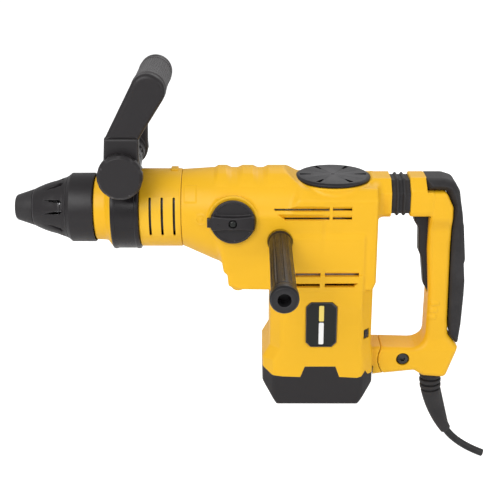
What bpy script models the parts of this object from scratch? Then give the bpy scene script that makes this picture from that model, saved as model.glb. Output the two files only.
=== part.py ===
"""L-shaped demolition hammer for large chisel shanks, as separate working pieces.

The motor stands upright under a crank, which drives a piston along X inside the barrel. +X runs back along
the hammer axis towards the operator, +Z is up and -Y is the tool's left side, with the mode knob and side bar.
The pieces are drawn from the nose: x = 0 is its front face and the hammer axis is y = z = 0. An empty then
carries them all, so that the finished object's origin lies on its flat underside, under the motor's axis.
Lengths are metres, through MM.
"""

import math

import bmesh
import bpy
from mathutils import Matrix, Vector

MM = 0.001
GAP = 0.3 * MM  # air left between neighbouring pieces
MERGE = 0.00001  # weld distance of the modifiers that merge

# Driving dimensions.
NECK_R = 34 * MM  # front of the barrel cover
BARREL_R = 41.5 * MM  # barrel cover behind the clamp
BODY_HALF = 47 * MM  # half the width of the crank section and of the base
MOTOR_HALF = 46.4 * MM  # half the width of the motor section
WALL = 3 * MM  # moulded wall thickness
HAMMER_BORE_R = 16 * MM  # bore of the steel cylinder
CRANK_X = 342 * MM
CRANK_THROW = 12 * MM  # crank pin's distance from the crank axis: half the stroke
ROD_LENGTH = 62 * MM  # piston pin to crank pin
GEAR_MODULE = 1 * MM
PINION_TEETH = 8
GEAR_TEETH = 44
MOTOR_X = CRANK_X - GEAR_MODULE * (PINION_TEETH + GEAR_TEETH) / 2
CAP_X = 336 * MM  # centre of the round cap over the crank
CAP_R = 39.6 * MM
TOP_Z = 32 * MM  # top of the housing, under the cap
FOOT_Z = -211 * MM  # flat underside of the base
KNOB_X = 231 * MM  # mode knob's axis
KNOB_PIN_THROW = 5 * MM
CLAMP_X = 119 * MM  # centre of the clamp band and of the bow handle's pivot
CLAMP_Z = 52 * MM
BOW_BAR = (148 * MM, 136 * MM)  # bow handle's grip centre, X and Z
ARM_Y = 52 * MM  # centre of each bow arm
SIDE_BAR = (279.5 * MM, -22 * MM)  # side bar's axis, X and Z
PIVOT = (416.7 * MM, -169.5 * MM)  # rear handle's pivot bolt, X and Z
TRIGGER_PIVOT = (430 * MM, -12 * MM)

PALETTE = {  # name: (colour, roughness, metallic)
    "yellow_plastic": ((0.93, 0.56, 0.05), 0.42, 0.0),
    "black_plastic": ((0.035, 0.034, 0.036), 0.48, 0.0),
    "rubber": ((0.045, 0.043, 0.044), 0.75, 0.0),
    "steel": ((0.55, 0.56, 0.58), 0.3, 1.0),
    "dark_steel": ((0.2, 0.2, 0.21), 0.4, 1.0),
    "aluminium": ((0.72, 0.73, 0.74), 0.45, 1.0),
    "copper": ((0.72, 0.34, 0.18), 0.35, 1.0),
    "carbon": ((0.03, 0.03, 0.03), 0.6, 0.0),
}
AXIS_MATRIX = {  # turns local +Z to the named axis
    "X": Matrix.Rotation(math.pi / 2, 4, "Y"),
    "Y": Matrix.Rotation(-math.pi / 2, 4, "X"),
    "Z": Matrix.Identity(4),
}
PRISM_MATRIX = {  # lays a flat outline across the named axis: (x, z) for Y, (y, z) for X, (x, y) for Z
    "X": Matrix(((0, 0, 1, 0), (1, 0, 0, 0), (0, 1, 0, 0), (0, 0, 0, 1))),
    "Y": Matrix.Rotation(math.pi / 2, 4, "X"),
    "Z": Matrix.Identity(4),
}


# ---------------------------------------------------------------- scene, materials and modelling helpers


def start_scene():
    for obj in list(bpy.data.objects):
        bpy.data.objects.remove(obj)
    parts = bpy.data.collections.new("demolition_hammer")
    cutters = bpy.data.collections.new("cutters")
    for collection in (parts, cutters):
        bpy.context.scene.collection.children.link(collection)
    return parts, cutters


PARTS, CUTTERS = start_scene()


def material(name):
    found = bpy.data.materials.get(name)
    if found:
        return found
    colour, roughness, metallic = PALETTE[name]
    made = bpy.data.materials.new(name)
    made.use_nodes = True
    shader = made.node_tree.nodes["Principled BSDF"]
    shader.inputs["Base Color"].default_value = (*colour, 1)
    shader.inputs["Roughness"].default_value = roughness
    shader.inputs["Metallic"].default_value = metallic
    return made


def millimetres(points):
    """The same points, given in millimetres, in metres."""
    return [tuple(value * MM for value in point) for point in points]


def place(obj, at):
    obj.matrix_world = Matrix.Translation(Vector(at)) @ obj.matrix_world
    return obj


def part(obj, name, finish):
    """Makes obj a named piece of the object with a material."""
    obj.name = name
    obj.data.name = name
    obj.data.materials.clear()
    obj.data.materials.append(material(finish))
    PARTS.objects.link(obj)
    return obj


def helper(obj):
    """Makes obj a hidden cutter or joiner."""
    if obj.name not in CUTTERS.objects:
        CUTTERS.objects.link(obj)
    obj.hide_render = True
    obj.display_type = "WIRE"
    return obj


def boolean(obj, other, operation):
    helper(other)
    modifier = obj.modifiers.new(operation.lower(), "BOOLEAN")
    modifier.object = other
    modifier.operation = operation
    modifier.solver = "EXACT"
    return obj


def cut(obj, *others):
    for other in others:
        boolean(obj, other, "DIFFERENCE")
    return obj


def join(obj, *others):
    for other in others:
        boolean(obj, other, "UNION")
    return obj


def keep_inside(obj, other):
    return boolean(obj, other, "INTERSECT")


def bevel(obj, width, segments=1, angle=40):
    modifier = obj.modifiers.new("bevel", "BEVEL")
    modifier.width = width
    modifier.segments = segments
    modifier.limit_method = "ANGLE"
    modifier.angle_limit = math.radians(angle)
    return obj


def mesh_object(name, bm):
    mesh = bpy.data.meshes.new(name)
    bm.to_mesh(mesh)
    bm.free()
    return bpy.data.objects.new(name, mesh)


def box(low, high):
    """A box between two corners."""
    bm = bmesh.new()
    bmesh.ops.create_cube(bm, size=1)
    size = [h - l for l, h in zip(low, high)]
    middle = [(h + l) / 2 for l, h in zip(low, high)]
    bmesh.ops.scale(bm, vec=size, verts=bm.verts)
    bmesh.ops.translate(bm, vec=middle, verts=bm.verts)
    return mesh_object("box", bm)


def cylinder(radius, start, end, axis="Z", at=(0, 0, 0), sides=24, end_radius=None):
    """A cylinder or cone between two stations along the axis, through the point at."""
    bm = bmesh.new()
    bmesh.ops.create_cone(
        bm,
        cap_ends=True,
        segments=sides,
        radius1=radius,
        radius2=radius if end_radius is None else end_radius,
        depth=end - start,
    )
    bmesh.ops.translate(bm, vec=(0, 0, (start + end) / 2), verts=bm.verts)
    obj = mesh_object("cylinder", bm)
    obj.data.transform(AXIS_MATRIX[axis])
    return place(obj, at)


def turned(profile, axis="X", at=(0, 0, 0), steps=24):
    """A turned solid. The profile is (station along the axis, radius) pairs: it starts and ends on the axis,
    or else it is a closed loop that leaves a bore."""
    solid = profile[0][1] == 0 and profile[-1][1] == 0
    area = sum(
        a[1] * b[0] - b[1] * a[0] for a, b in zip(profile, profile[1:] + profile[:1])
    )
    if area > 0:
        profile = profile[::-1]
    bm = bmesh.new()
    verts = [bm.verts.new((radius, 0, station)) for station, radius in profile]
    for a, b in zip(verts, verts[1:]):
        bm.edges.new((a, b))
    if not solid:
        bm.edges.new((verts[-1], verts[0]))
    obj = mesh_object("turned", bm)
    screw = obj.modifiers.new("screw", "SCREW")
    screw.steps = screw.render_steps = steps
    screw.use_merge_vertices = True
    screw.merge_threshold = MERGE
    obj.matrix_world = AXIS_MATRIX[axis]
    return place(obj, at)


def as_mesh(curve_object):
    """The curve's evaluated shape as a mesh object, with its caps welded and flat faces merged."""
    bpy.context.scene.collection.objects.link(curve_object)
    bpy.context.view_layer.update()
    graph = bpy.context.evaluated_depsgraph_get()
    mesh = bpy.data.meshes.new_from_object(curve_object.evaluated_get(graph))
    bm = bmesh.new()
    bm.from_mesh(mesh)
    bmesh.ops.remove_doubles(bm, verts=bm.verts, dist=MERGE)
    bmesh.ops.dissolve_limit(
        bm, angle_limit=math.radians(0.5), verts=bm.verts, edges=bm.edges
    )
    bmesh.ops.recalc_face_normals(bm, faces=bm.faces)
    bm.to_mesh(mesh)
    bm.free()
    obj = bpy.data.objects.new("shape", mesh)
    obj.matrix_world = curve_object.matrix_world.copy()
    bpy.data.objects.remove(curve_object)
    return obj


def prism(outlines, half, axis="Y", at=(0, 0, 0)):
    """A flat outline, or an outline with holes, made solid to half its thickness on each side of the point at."""
    if not isinstance(outlines[0][0], (tuple, list)):
        outlines = [outlines]
    data = bpy.data.curves.new("outline", "CURVE")
    data.dimensions = "2D"
    data.fill_mode = "BOTH"
    data.extrude = half
    for outline in outlines:
        spline = data.splines.new("POLY")
        spline.points.add(len(outline) - 1)
        for point, (u, v) in zip(spline.points, outline):
            point.co = (u, v, 0, 1)
        spline.use_cyclic_u = True
    curve_object = bpy.data.objects.new("outline", data)
    curve_object.matrix_world = PRISM_MATRIX[axis]
    return place(as_mesh(curve_object), at)


def tube(points, radius, taper=None, resolution=1):
    """A round rod along the points. Taper gives each point's share of the radius."""
    data = bpy.data.curves.new("tube", "CURVE")
    data.dimensions = "3D"
    data.bevel_depth = radius
    data.bevel_resolution = resolution
    data.use_fill_caps = True
    spline = data.splines.new("POLY")
    spline.points.add(len(points) - 1)
    for i, (point, co) in enumerate(zip(spline.points, points)):
        point.co = (*co, 1)
        point.radius = taper[i] if taper else 1
    return as_mesh(bpy.data.objects.new("tube", data))


def arc(centre, radius, start, end, steps):
    """Points along an arc, angles in degrees."""
    turns = [math.radians(start + (end - start) * i / steps) for i in range(steps + 1)]
    return [
        (centre[0] + radius * math.cos(t), centre[1] + radius * math.sin(t))
        for t in turns
    ]


def circle(centre, radius, steps=24):
    return arc(centre, radius, 0, 360, steps)[:-1]


def rounded(corners, steps=3):
    """An outline whose corners are (u, v, radius), with each corner turned into an arc."""
    made = []
    for i, (u, v, radius) in enumerate(corners):
        here = Vector((u, v))
        back = Vector(corners[i - 1][:2]) - here
        ahead = Vector(corners[(i + 1) % len(corners)][:2]) - here
        if radius == 0:
            made.append((u, v))
            continue
        reach = radius / math.tan(back.angle(ahead) / 2)
        first, last = here + back.normalized() * reach, here + ahead.normalized() * reach
        middle = (back.normalized() + ahead.normalized()).normalized()
        centre = here + middle * math.hypot(reach, radius)
        a, b = first - centre, last - centre
        swing = a.angle_signed(b)
        for k in range(steps + 1):
            turn = Matrix.Rotation(-swing * k / steps, 2)
            made.append(tuple(centre + turn @ a))
    return made


def helix(radius, start, end, turns, centre, per_turn=8):
    """Points of a coil that runs along X."""
    count = round(turns * per_turn)
    points = []
    for i in range(count + 1):
        angle = 2 * math.pi * i / per_turn
        along = start + (end - start) * i / count
        points.append(
            (
                along,
                centre[0] + radius * math.cos(angle),
                centre[1] + radius * math.sin(angle),
            )
        )
    return points


def gear_outline(teeth, module, centre, phase):
    """A toothed wheel with straight-sided teeth and backlash. A tooth points at the phase angle, in radians."""
    pitch = module * teeth / 2
    tip, root = pitch + 0.6 * module, pitch - 1.0 * module
    pitch_angle = 2 * math.pi / teeth
    shares = ((root, -0.28), (tip, -0.1), (tip, 0.1), (root, 0.28))
    points = []
    for tooth in range(teeth):
        for radius, share in shares:
            angle = phase + (tooth + share) * pitch_angle
            points.append(
                (
                    centre[0] + radius * math.cos(angle),
                    centre[1] + radius * math.sin(angle),
                )
            )
    return points


def finned_outline(fins, inner, outer, width, centre):
    """A hub with straight radial fins, or a slotted drum when the width is large."""
    points = []
    half_root = math.asin(width / 2 / inner)
    half_tip = math.asin(width / 2 / outer)
    for fin in range(fins):
        middle = 2 * math.pi * fin / fins
        for radius, offset in (
            (inner, -half_root),
            (outer, -half_tip),
            (outer, half_tip),
            (inner, half_root),
        ):
            points.append(
                (
                    centre[0] + radius * math.cos(middle + offset),
                    centre[1] + radius * math.sin(middle + offset),
                )
            )
    return points


# ---------------------------------------------------------------- tool holder and chuck


def tool_holder():
    profile = [(5.3, 13.9), (19.3, 13.9), (19.3, 17), (88, 17), (88, 25), (91, 25), (91, 17), (148, 17)]
    profile += [(148, 11.5), (87, 11.5), (87, 9.2), (5.3, 9.2)]
    holder = turned(millimetres(profile))
    roller_slot = box(
        (39 * MM, -3.9 * MM, -20 * MM), (54.5 * MM, 3.9 * MM, 20 * MM)
    )
    return part(cut(holder, roller_slot), "tool_holder", "steel")


def lock_rollers():
    """The two rollers that hold the chisel, one above and one below the shank."""
    for name, side in (("lock_roller_upper", 1), ("lock_roller_lower", -1)):
        roller = cylinder(
            3.5 * MM, 40 * MM, 53.5 * MM, "X", (0, 0, side * 11.5 * MM), sides=12
        )
        part(roller, name, "steel")


def dust_cap():
    profile = [(0, 11.5), (1.5, 13.3), (19, 19.2), (19, 14.3), (5, 14.3), (5, 9.6), (0, 9.6)]
    part(turned(millimetres(profile)), "dust_cap", "rubber")


def locking_sleeve():
    """The tapered sleeve that is pulled back to free the chisel, with six finger notches."""
    profile = [(19.4, 19.4), (30, 24.4), (45, 30.4), (56, 33.4), (56, 18), (52.6, 18), (52.6, 28)]
    profile += [(44, 26), (30, 18.6), (19.4, 17.5)]
    sleeve = turned(millimetres(profile))
    for i in range(6):
        notch = box((42 * MM, -2.6 * MM, 28.6 * MM), (53 * MM, 2.6 * MM, 40 * MM))
        notch.matrix_world = Matrix.Rotation(math.radians(60 * i), 4, "X")
        cut(sleeve, notch)
    part(sleeve, "locking_sleeve", "black_plastic")


def sleeve_ring():
    profile = [(56.3, 33.3), (60.7, 36.7), (85, 36.7), (85, 35.2), (66, 35.2), (66, 31), (56.3, 31)]
    part(turned(millimetres(profile), steps=28), "sleeve_ring", "black_plastic")


def release_spring():
    coil = helix(22 * MM, 58 * MM, 86 * MM, 4, (0, 0))
    part(tube(coil, 1.3 * MM), "release_spring", "steel")


# ---------------------------------------------------------------- barrel


def front_bearing():
    profile = [(92, 17.5), (92, 27.8), (104, 27.8), (104, 17.5)]
    part(turned(millimetres(profile)), "front_bearing", "steel")


def barrel_housing():
    profile = [(87.5, 31), (101.5, 31), (106, 36), (178, 36), (178, 25.8), (104.4, 25.8)]
    profile += [(104.4, 28.4), (91.6, 28.4), (91.6, 26), (87.5, 26)]
    part(turned(millimetres(profile), steps=28), "barrel_housing", "aluminium")


def barrel_cover():
    profile = [(85.6, 33.2), (86.4, 34), (99, 34), (103, 41), (104.2, 41), (104.2, 38), (133.8, 38)]
    profile += [(133.8, 41.5), (177, 41.5), (177, 38.6), (136.5, 38.6), (136.5, 36.6), (105.7, 36.6)]
    profile += [(101.2, 31.5), (85.6, 31.5)]
    cover = turned(millimetres(profile), steps=28)
    for slot_x in (144.5, 157, 170):
        slot = box(
            ((slot_x - 1.4) * MM, -60 * MM, -19 * MM),
            ((slot_x + 1.4) * MM, 60 * MM, 22.5 * MM),
        )
        cut(cover, slot)
    part(cover, "barrel_cover", "yellow_plastic")


def impact_bolt():
    profile = [(88.5, 0), (88.5, 8.6), (97, 8.6), (99, 11.1), (138, 11.1), (140, 8), (160, 8), (160, 0)]
    part(turned(millimetres(profile), steps=20), "impact_bolt", "steel")


def striker():
    profile = [(176, 0), (176, 9), (184, 9), (186, 15.5), (230, 15.5), (230, 0)]
    part(turned(millimetres(profile)), "striker", "steel")


def hammer_cylinder():
    bore = HAMMER_BORE_R / MM
    profile = [(151, bore), (151, bore + 3), (300, bore + 3), (300, bore)]
    part(turned(millimetres(profile)), "cylinder", "steel")


def piston():
    pin_x = (CRANK_X + CRANK_THROW - ROD_LENGTH) / MM
    front, back = pin_x - 26, pin_x + 12
    profile = [(front, 0), (front, 15.5), (back, 15.5), (back, 11.5), (pin_x - 10, 11.5), (pin_x - 10, 0)]
    body = turned(millimetres(profile))
    pin_hole = cylinder(4.4 * MM, -20 * MM, 20 * MM, "Z", (pin_x * MM, 0, 0), sides=12)
    part(cut(body, pin_hole), "piston", "steel")
    pin = cylinder(4 * MM, -14.3 * MM, 14.3 * MM, "Z", (pin_x * MM, 0, 0), sides=12)
    part(pin, "piston_pin", "steel")


def connecting_rod():
    crank_pin_x = CRANK_X + CRANK_THROW
    pin_x = crank_pin_x - ROD_LENGTH
    small, big, shank = 8 * MM, 10.5 * MM, 5.5 * MM
    small_open = math.degrees(math.asin(shank / small))
    big_open = math.degrees(math.asin(shank / big))
    outline = arc((pin_x, 0), small, small_open, 360 - small_open, 12)
    outline += arc((crank_pin_x, 0), big, big_open - 180, 180 - big_open, 14)
    eyes = [
        circle((pin_x, 0), 4.5 * MM, 12),
        circle((crank_pin_x, 0), 6.4 * MM, 16),
    ]
    part(prism([outline, *eyes], 5 * MM, "Z"), "con_rod", "dark_steel")
    # The pin stands just clear of the crank disc: this is where the drive's closed loop is open.
    pin = cylinder(6 * MM, -7.7 * MM, 7 * MM, "Z", (crank_pin_x, 0, 0), sides=16)
    part(pin, "crank_pin", "steel")


# ---------------------------------------------------------------- crank and gears


def crank():
    profile = [(-8, 0), (-8, 19), (-14, 19), (-14, 8), (-53, 8), (-53, 0)]
    shaft = turned(millimetres(profile), "Z", (CRANK_X, 0, 0), steps=24)
    part(shaft, "crank_shaft", "dark_steel")
    # A gap between teeth faces the motor shaft, where the pinion has a tooth.
    teeth = gear_outline(
        GEAR_TEETH, GEAR_MODULE, (CRANK_X, 0), math.pi + math.pi / GEAR_TEETH
    )
    bore = circle((CRANK_X, 0), 8.4 * MM, 20)
    wheel = prism([teeth, bore], 4.5 * MM, "Z", (0, 0, -45 * MM))
    part(wheel, "crank_gear", "steel")


def crankcase():
    """The cast case: a tube for the steel cylinder and a round crank chamber that opens upwards."""
    case = cylinder(36 * MM, 178.4 * MM, 254 * MM, "X")
    neck = cylinder(27.5 * MM, 250 * MM, 320 * MM, "X", sides=28)
    chamber_wall = cylinder(36.4 * MM, -34 * MM, 30 * MM, "Z", (CAP_X, 0, 0), sides=32)
    side_boss = cylinder(
        9 * MM, -43.4 * MM, -12 * MM, "Y", (SIDE_BAR[0], 0, SIDE_BAR[1]), sides=16
    )
    join(case, neck, chamber_wall, side_boss)
    cylinder_bore = cylinder(19.5 * MM, 170 * MM, 320 * MM, "X")
    shift_bore = cylinder(25.8 * MM, 170 * MM, 252 * MM, "X")
    chamber = cylinder(33 * MM, -16 * MM, 40 * MM, "Z", (CAP_X, 0, 0), sides=32)
    shaft_hole = cylinder(8.5 * MM, -50 * MM, 0, "Z", (CRANK_X, 0, 0), sides=24)
    stud_hole = cylinder(
        5.5 * MM, -60 * MM, -24 * MM, "Y", (SIDE_BAR[0], 0, SIDE_BAR[1]), sides=16
    )
    pin_window = box(
        (KNOB_X - 9 * MM, -60 * MM, -8 * MM), (KNOB_X + 9 * MM, -15 * MM, 8 * MM)
    )
    cut(case, cylinder_bore, shift_bore, chamber, shaft_hole, stud_hole, pin_window)
    part(case, "crankcase", "aluminium")


def crank_cap():
    """The round screw-in cap over the crank, with six spanner notches."""
    profile = [(24, 0), (24, 32.4), (32.4, 32.4), (32.4, 39.2), (33.2, 39.6), (35.4, 39.6), (36.6, 37.6)]
    profile += [(36.6, 0)]
    cap = turned(millimetres(profile), "Z", (CAP_X, 0, 0), steps=32)
    for i in range(6):
        notch = box((27 * MM, -1.6 * MM, 34.6 * MM), (35.5 * MM, 1.6 * MM, 40 * MM))
        notch.matrix_world = Matrix.Translation((CAP_X, 0, 0)) @ Matrix.Rotation(
            math.radians(60 * i), 4, "Z"
        )
        cut(cap, notch)
    part(cap, "crank_cap", "black_plastic")


# ---------------------------------------------------------------- mode knob and chisel lock


def lock_sleeve():
    """The sliding sleeve that holds the tool holder from turning. The knob's pin sits in its groove."""
    groove = (KNOB_X - KNOB_PIN_THROW * math.sqrt(0.5)) / MM
    near, far = groove - 3, groove + 3
    profile = [(154, 19.5), (154, 22), (near - 3, 22), (near - 3, 25.2), (near, 25.2), (near, 22)]
    profile += [(far, 22), (far, 25.2), (far + 3, 25.2), (far + 3, 19.5)]
    part(turned(millimetres(profile)), "lock_sleeve", "dark_steel")


def mode_knob():
    at = (KNOB_X, 0, 0)
    knob = cylinder(23 * MM, -53 * MM, -48 * MM, "Y", at, sides=32)
    grip = prism(
        rounded(
            [
                (-22.6 * MM, -8 * MM, 3 * MM),
                (22.4 * MM, -8 * MM, 3 * MM),
                (22.4 * MM, 8 * MM, 3 * MM),
                (-22.6 * MM, 8 * MM, 3 * MM),
            ]
        ),
        3.5 * MM,
        "Y",
        (KNOB_X, -55 * MM, 0),
    )
    pointer = box(
        (KNOB_X - 26.5 * MM, -56 * MM, -5 * MM), (KNOB_X - 18 * MM, -48.6 * MM, 5 * MM)
    )
    shaft = cylinder(8 * MM, -49 * MM, -39 * MM, "Y", at, sides=20)
    join(knob, grip, pointer, shaft)
    offset = KNOB_PIN_THROW * math.sqrt(0.5)
    pin_at = (KNOB_X - offset, 0, -offset)
    join(knob, cylinder(2.4 * MM, -40 * MM, -23.4 * MM, "Y", pin_at, sides=12))
    button_hole = cylinder(4.4 * MM, -60 * MM, -50 * MM, "Y", at, sides=20)
    part(cut(knob, button_hole), "mode_knob", "black_plastic")
    button = cylinder(4 * MM, -59 * MM, -53.2 * MM, "Y", at, sides=20)
    part(button, "knob_button", "black_plastic")


# ---------------------------------------------------------------- motor


def armature():
    at = (MOTOR_X, 0, 0)
    pinion_end, shoulder, core_seat, lower_seat, lower_end = -37, -54, -68, -190, -206
    profile = [
        (pinion_end, 0),
        (pinion_end, 2.8),
        (shoulder, 2.8),
        (shoulder, 6),
        (core_seat, 6),
        (core_seat, 7),
        (lower_seat, 7),
        (lower_seat, 5),
        (lower_end, 5),
        (lower_end, 0),
    ]
    shaft = turned(millimetres(profile), "Z", at, steps=16)
    teeth = gear_outline(PINION_TEETH, GEAR_MODULE, (MOTOR_X, 0), 0)
    pinion = prism(teeth, 7.5 * MM, "Z", (0, 0, -45.5 * MM))
    part(join(shaft, pinion), "armature_shaft", "steel")
    slots = finned_outline(12, 21 * MM, 24 * MM, 8.5 * MM, (MOTOR_X, 0))
    bore = circle((MOTOR_X, 0), 7.4 * MM, 16)
    core = prism([slots, bore], 29 * MM, "Z", (0, 0, -120 * MM))
    part(core, "armature_core", "dark_steel")
    ring = [(-187, 7.4), (-187, 14), (-168, 14), (-165, 16), (-162, 16), (-162, 7.4)]
    part(turned(millimetres(ring), "Z", at, steps=24), "commutator", "copper")


def cooling_fan():
    hub = [(-84, 7.4), (-84, 33), (-82, 33), (-82, 12), (-72, 12), (-72, 7.4)]
    fan = turned(millimetres(hub), "Z", (MOTOR_X, 0, 0), steps=24)
    blades = finned_outline(10, 11 * MM, 32.5 * MM, 1.6 * MM, (MOTOR_X, 0))
    inner = circle((MOTOR_X, 0), 9 * MM, 16)
    join(fan, prism([blades, inner], 5 * MM, "Z", (0, 0, -78 * MM)))
    part(fan, "cooling_fan", "black_plastic")


def motor_bearings():
    at = (MOTOR_X, 0, 0)
    upper = [(-66, 6.4), (-66, 13), (-56, 13), (-56, 6.4)]
    part(turned(millimetres(upper), "Z", at, steps=24), "upper_bearing", "steel")
    lower = [(-206, 5.4), (-206, 11), (-198, 11), (-198, 5.4)]
    part(turned(millimetres(lower), "Z", at, steps=24), "lower_bearing", "steel")
    edge = rounded(millimetres([(275, -41, 14), (372, -41, 14), (372, 41, 14), (275, 41, 14)]))
    seat = circle((MOTOR_X, 0), 13.5 * MM, 24)
    plate = prism([edge, seat], 5 * MM, "Z", (0, 0, -61 * MM))
    part(plate, "bearing_plate", "aluminium")


def stator():
    at = (MOTOR_X, 0, 0)
    yoke = [(-148, 36), (-148, 41), (-92, 41), (-92, 36)]
    core = turned(millimetres(yoke), "Z", at, steps=28)
    for side in (-1, 1):
        pole = box((25 * MM, -8 * MM, -147 * MM), (37.5 * MM, 8 * MM, -93 * MM))
        pole.matrix_world = Matrix.Translation(at) @ Matrix.Rotation(
            math.pi * (side < 0), 4, "Z"
        )
        join(core, pole)
    part(core, "stator_core", "dark_steel")
    frame = rounded(millimetres([(-15.5, -157, 4), (15.5, -157, 4), (15.5, -87, 4), (-15.5, -87, 4)]))
    window = millimetres([(-8.5, -150), (8.5, -150), (8.5, -90), (-8.5, -90)])
    for name, side in (("field_coil_front", -1), ("field_coil_rear", 1)):
        coil = prism([frame, window], 2.4 * MM, "X", (MOTOR_X + side * 28.8 * MM, 0, 0))
        part(coil, name, "copper")


def brushes():
    for name, side in (("brush_left", -1), ("brush_right", 1)):
        low, high = sorted((side * 14.6 * MM, side * 29 * MM))
        brush = box((MOTOR_X - 3.2 * MM, low, -181 * MM), (MOTOR_X + 3.2 * MM, high, -172 * MM))
        part(brush, name, "carbon")
    for name, side in (("brush_holder_left", -1), ("brush_holder_right", 1)):
        low, high = sorted((side * 17 * MM, side * 36 * MM))
        holder = box((MOTOR_X - 6 * MM, low, -184 * MM), (MOTOR_X + 6 * MM, high, -169 * MM))
        inner, outer = sorted((side * 10 * MM, side * 33 * MM))
        guide = box(
            (MOTOR_X - 3.6 * MM, inner, -181.4 * MM), (MOTOR_X + 3.6 * MM, outer, -171.6 * MM)
        )
        part(cut(holder, guide), name, "copper")


# ---------------------------------------------------------------- main housing


def crank_block(inset):
    """The upper part of the housing: cut corners along its length and a sloping front."""
    half, top, low = 47 - inset, 31.8 - inset, inset - 78
    section = [
        (8 - half, low),
        (half - 8, low),
        (half, low + 8),
        (half, top - 11),
        (half - 13, top),
        (13 - half, top),
        (-half, top - 11),
        (-half, low + 8),
    ]
    start, end = 205 + inset, 381 - inset
    block = prism(millimetres(section), (end - start) / 2 * MM, "X", ((start + end) / 2 * MM, 0, 0))
    side_view = [
        (213 + inset, 60),
        (420, 60),
        (420, -100),
        (236 + inset, -100),
        (226 + inset, -74),
        (219 + inset, -48),
    ]
    return keep_inside(block, prism(millimetres(side_view), 80 * MM))


def upright_block(front, back, half, low, high, trim):
    """A box with its four upright edges cut off."""
    plan = [
        (front + trim, -half),
        (back - trim, -half),
        (back, trim - half),
        (back, half - trim),
        (back - trim, half),
        (front + trim, half),
        (front, half - trim),
        (front, trim - half),
    ]
    return prism(millimetres(plan), (high - low) / 2 * MM, "Z", (0, 0, (high + low) / 2 * MM))


def handle_tongue():
    """The lug inside the rear handle's lower arm that carries the pivot bolt."""
    reach = arc(PIVOT, 9.5 * MM, -90, 90, 8)
    root_x = 384 * MM
    return prism(
        [(root_x, PIVOT[1] - 9.5 * MM), *reach, (root_x, PIVOT[1] + 9.5 * MM)], 8.5 * MM
    )


def housing_solid():
    """The whole housing as one solid, before it is hollowed and split."""
    half = MOTOR_HALF / MM
    motor = upright_block(269.5, 379.2, half, -171, -60, 12)
    skirt = upright_block(262, 381.6, half + 0.6, -172, -162, 15)
    nose = cylinder(BARREL_R, 177.4 * MM, 262 * MM, "X", sides=28, end_radius=45.5 * MM)
    boss = cylinder(41 * MM, 0, TOP_Z, "Z", (CAP_X, 0, 0), sides=28)
    rear_arm = rear_arm_block(376.5 * MM, 396 * MM, 0)
    lower_arm = prism(
        millimetres([(370, -155), (404, -155), (398, -188), (385, -188), (385, -169), (370, -169)]),
        19.5 * MM,
    )
    seam = cylinder(27.6 * MM, -40 * MM, 40 * MM, "Y", (PIVOT[0], 0, PIVOT[1]), sides=40)
    cut(lower_arm, seam)
    chin = prism(millimetres([(183, -30), (183, -38), (200, -46), (222, -53), (230, -30)]), 24 * MM)
    return join(
        crank_block(0), motor, skirt, nose, chin, boss, rear_arm, bake(lower_arm), handle_tongue()
    )


def bake(obj):
    """The object with its modifiers applied, so that it can be used as a plain solid."""
    if obj.name not in CUTTERS.objects:
        CUTTERS.objects.link(obj)
    bpy.context.view_layer.update()
    graph = bpy.context.evaluated_depsgraph_get()
    mesh = bpy.data.meshes.new_from_object(obj.evaluated_get(graph))
    made = bpy.data.objects.new("baked", mesh)
    made.matrix_world = obj.matrix_world.copy()
    bpy.data.objects.remove(obj)
    return made


def rear_arm_block(start, end, inset):
    """The upper arm's eight-sided section, between two stations along X."""
    half, top, low = 27 * MM - inset, 36 * MM - inset, -4 * MM + inset
    shoulder = 13 * MM
    section = [
        (-half, low + 5 * MM),
        (-half + 5 * MM, low),
        (half - 5 * MM, low),
        (half, low + 5 * MM),
        (half, top - shoulder),
        (half - shoulder, top),
        (shoulder - half, top),
        (-half, top - shoulder),
    ]
    return prism(section, (end - start) / 2, "X", ((start + end) / 2, 0, 0))


def housing_hollow(side):
    """Everything that is cut out of one half of the housing."""
    wall = WALL / MM
    half = MOTOR_HALF / MM
    nose_bore = cylinder(
        BARREL_R - WALL, 170 * MM, 262 * MM, "X", sides=28, end_radius=45.5 * MM - WALL
    )
    cutters = [
        crank_block(wall),
        upright_block(269.5 + wall, 379.2 - wall, half - wall, -180, -63, 11),
        upright_block(262 + wall, 381.6 - wall, half + 0.6 - wall, -181, -165, 14),
        nose_bore,
        rear_arm_block(377.5 * MM, 400 * MM, WALL),
        cylinder(36.9 * MM, 20 * MM, 40 * MM, "Z", (CAP_X, 0, 0), sides=36),
        cylinder(38 * MM, -10 * MM, TOP_Z - WALL, "Z", (CAP_X, 0, 0), sides=36),
        cylinder(4.5 * MM, -30 * MM, 30 * MM, "Y", (PIVOT[0], 0, PIVOT[1]), sides=16),
    ]
    if side < 0:
        cutters.append(cylinder(8.5 * MM, -60 * MM, -30 * MM, "Y", (KNOB_X, 0, 0), sides=20))
        cutters.append(
            cylinder(5.5 * MM, -60 * MM, -30 * MM, "Y", (SIDE_BAR[0], 0, SIDE_BAR[1]), sides=16)
        )
        cutters.append(speed_wheel_window())
    return cutters + vent_slots(side)


def vent_slots(side):
    """Air slots in the side wall: an upper pair and a lower pair of lines."""
    slots = []
    for start, end, z in (
        (278, 330, 9.5),
        (288, 330, 1),
        (333, 353, 9.5),
        (333, 353, 1),
        (297, 321, -61),
        (326, 360, -59.5),
        (297, 321, -72),
        (326, 357, -71),
    ):
        slots.append(
            box(
                (start * MM, min(side * 43 * MM, side * 60 * MM), (z - 0.8) * MM),
                (end * MM, max(side * 43 * MM, side * 60 * MM), (z + 0.8) * MM),
            )
        )
    return slots


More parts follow.
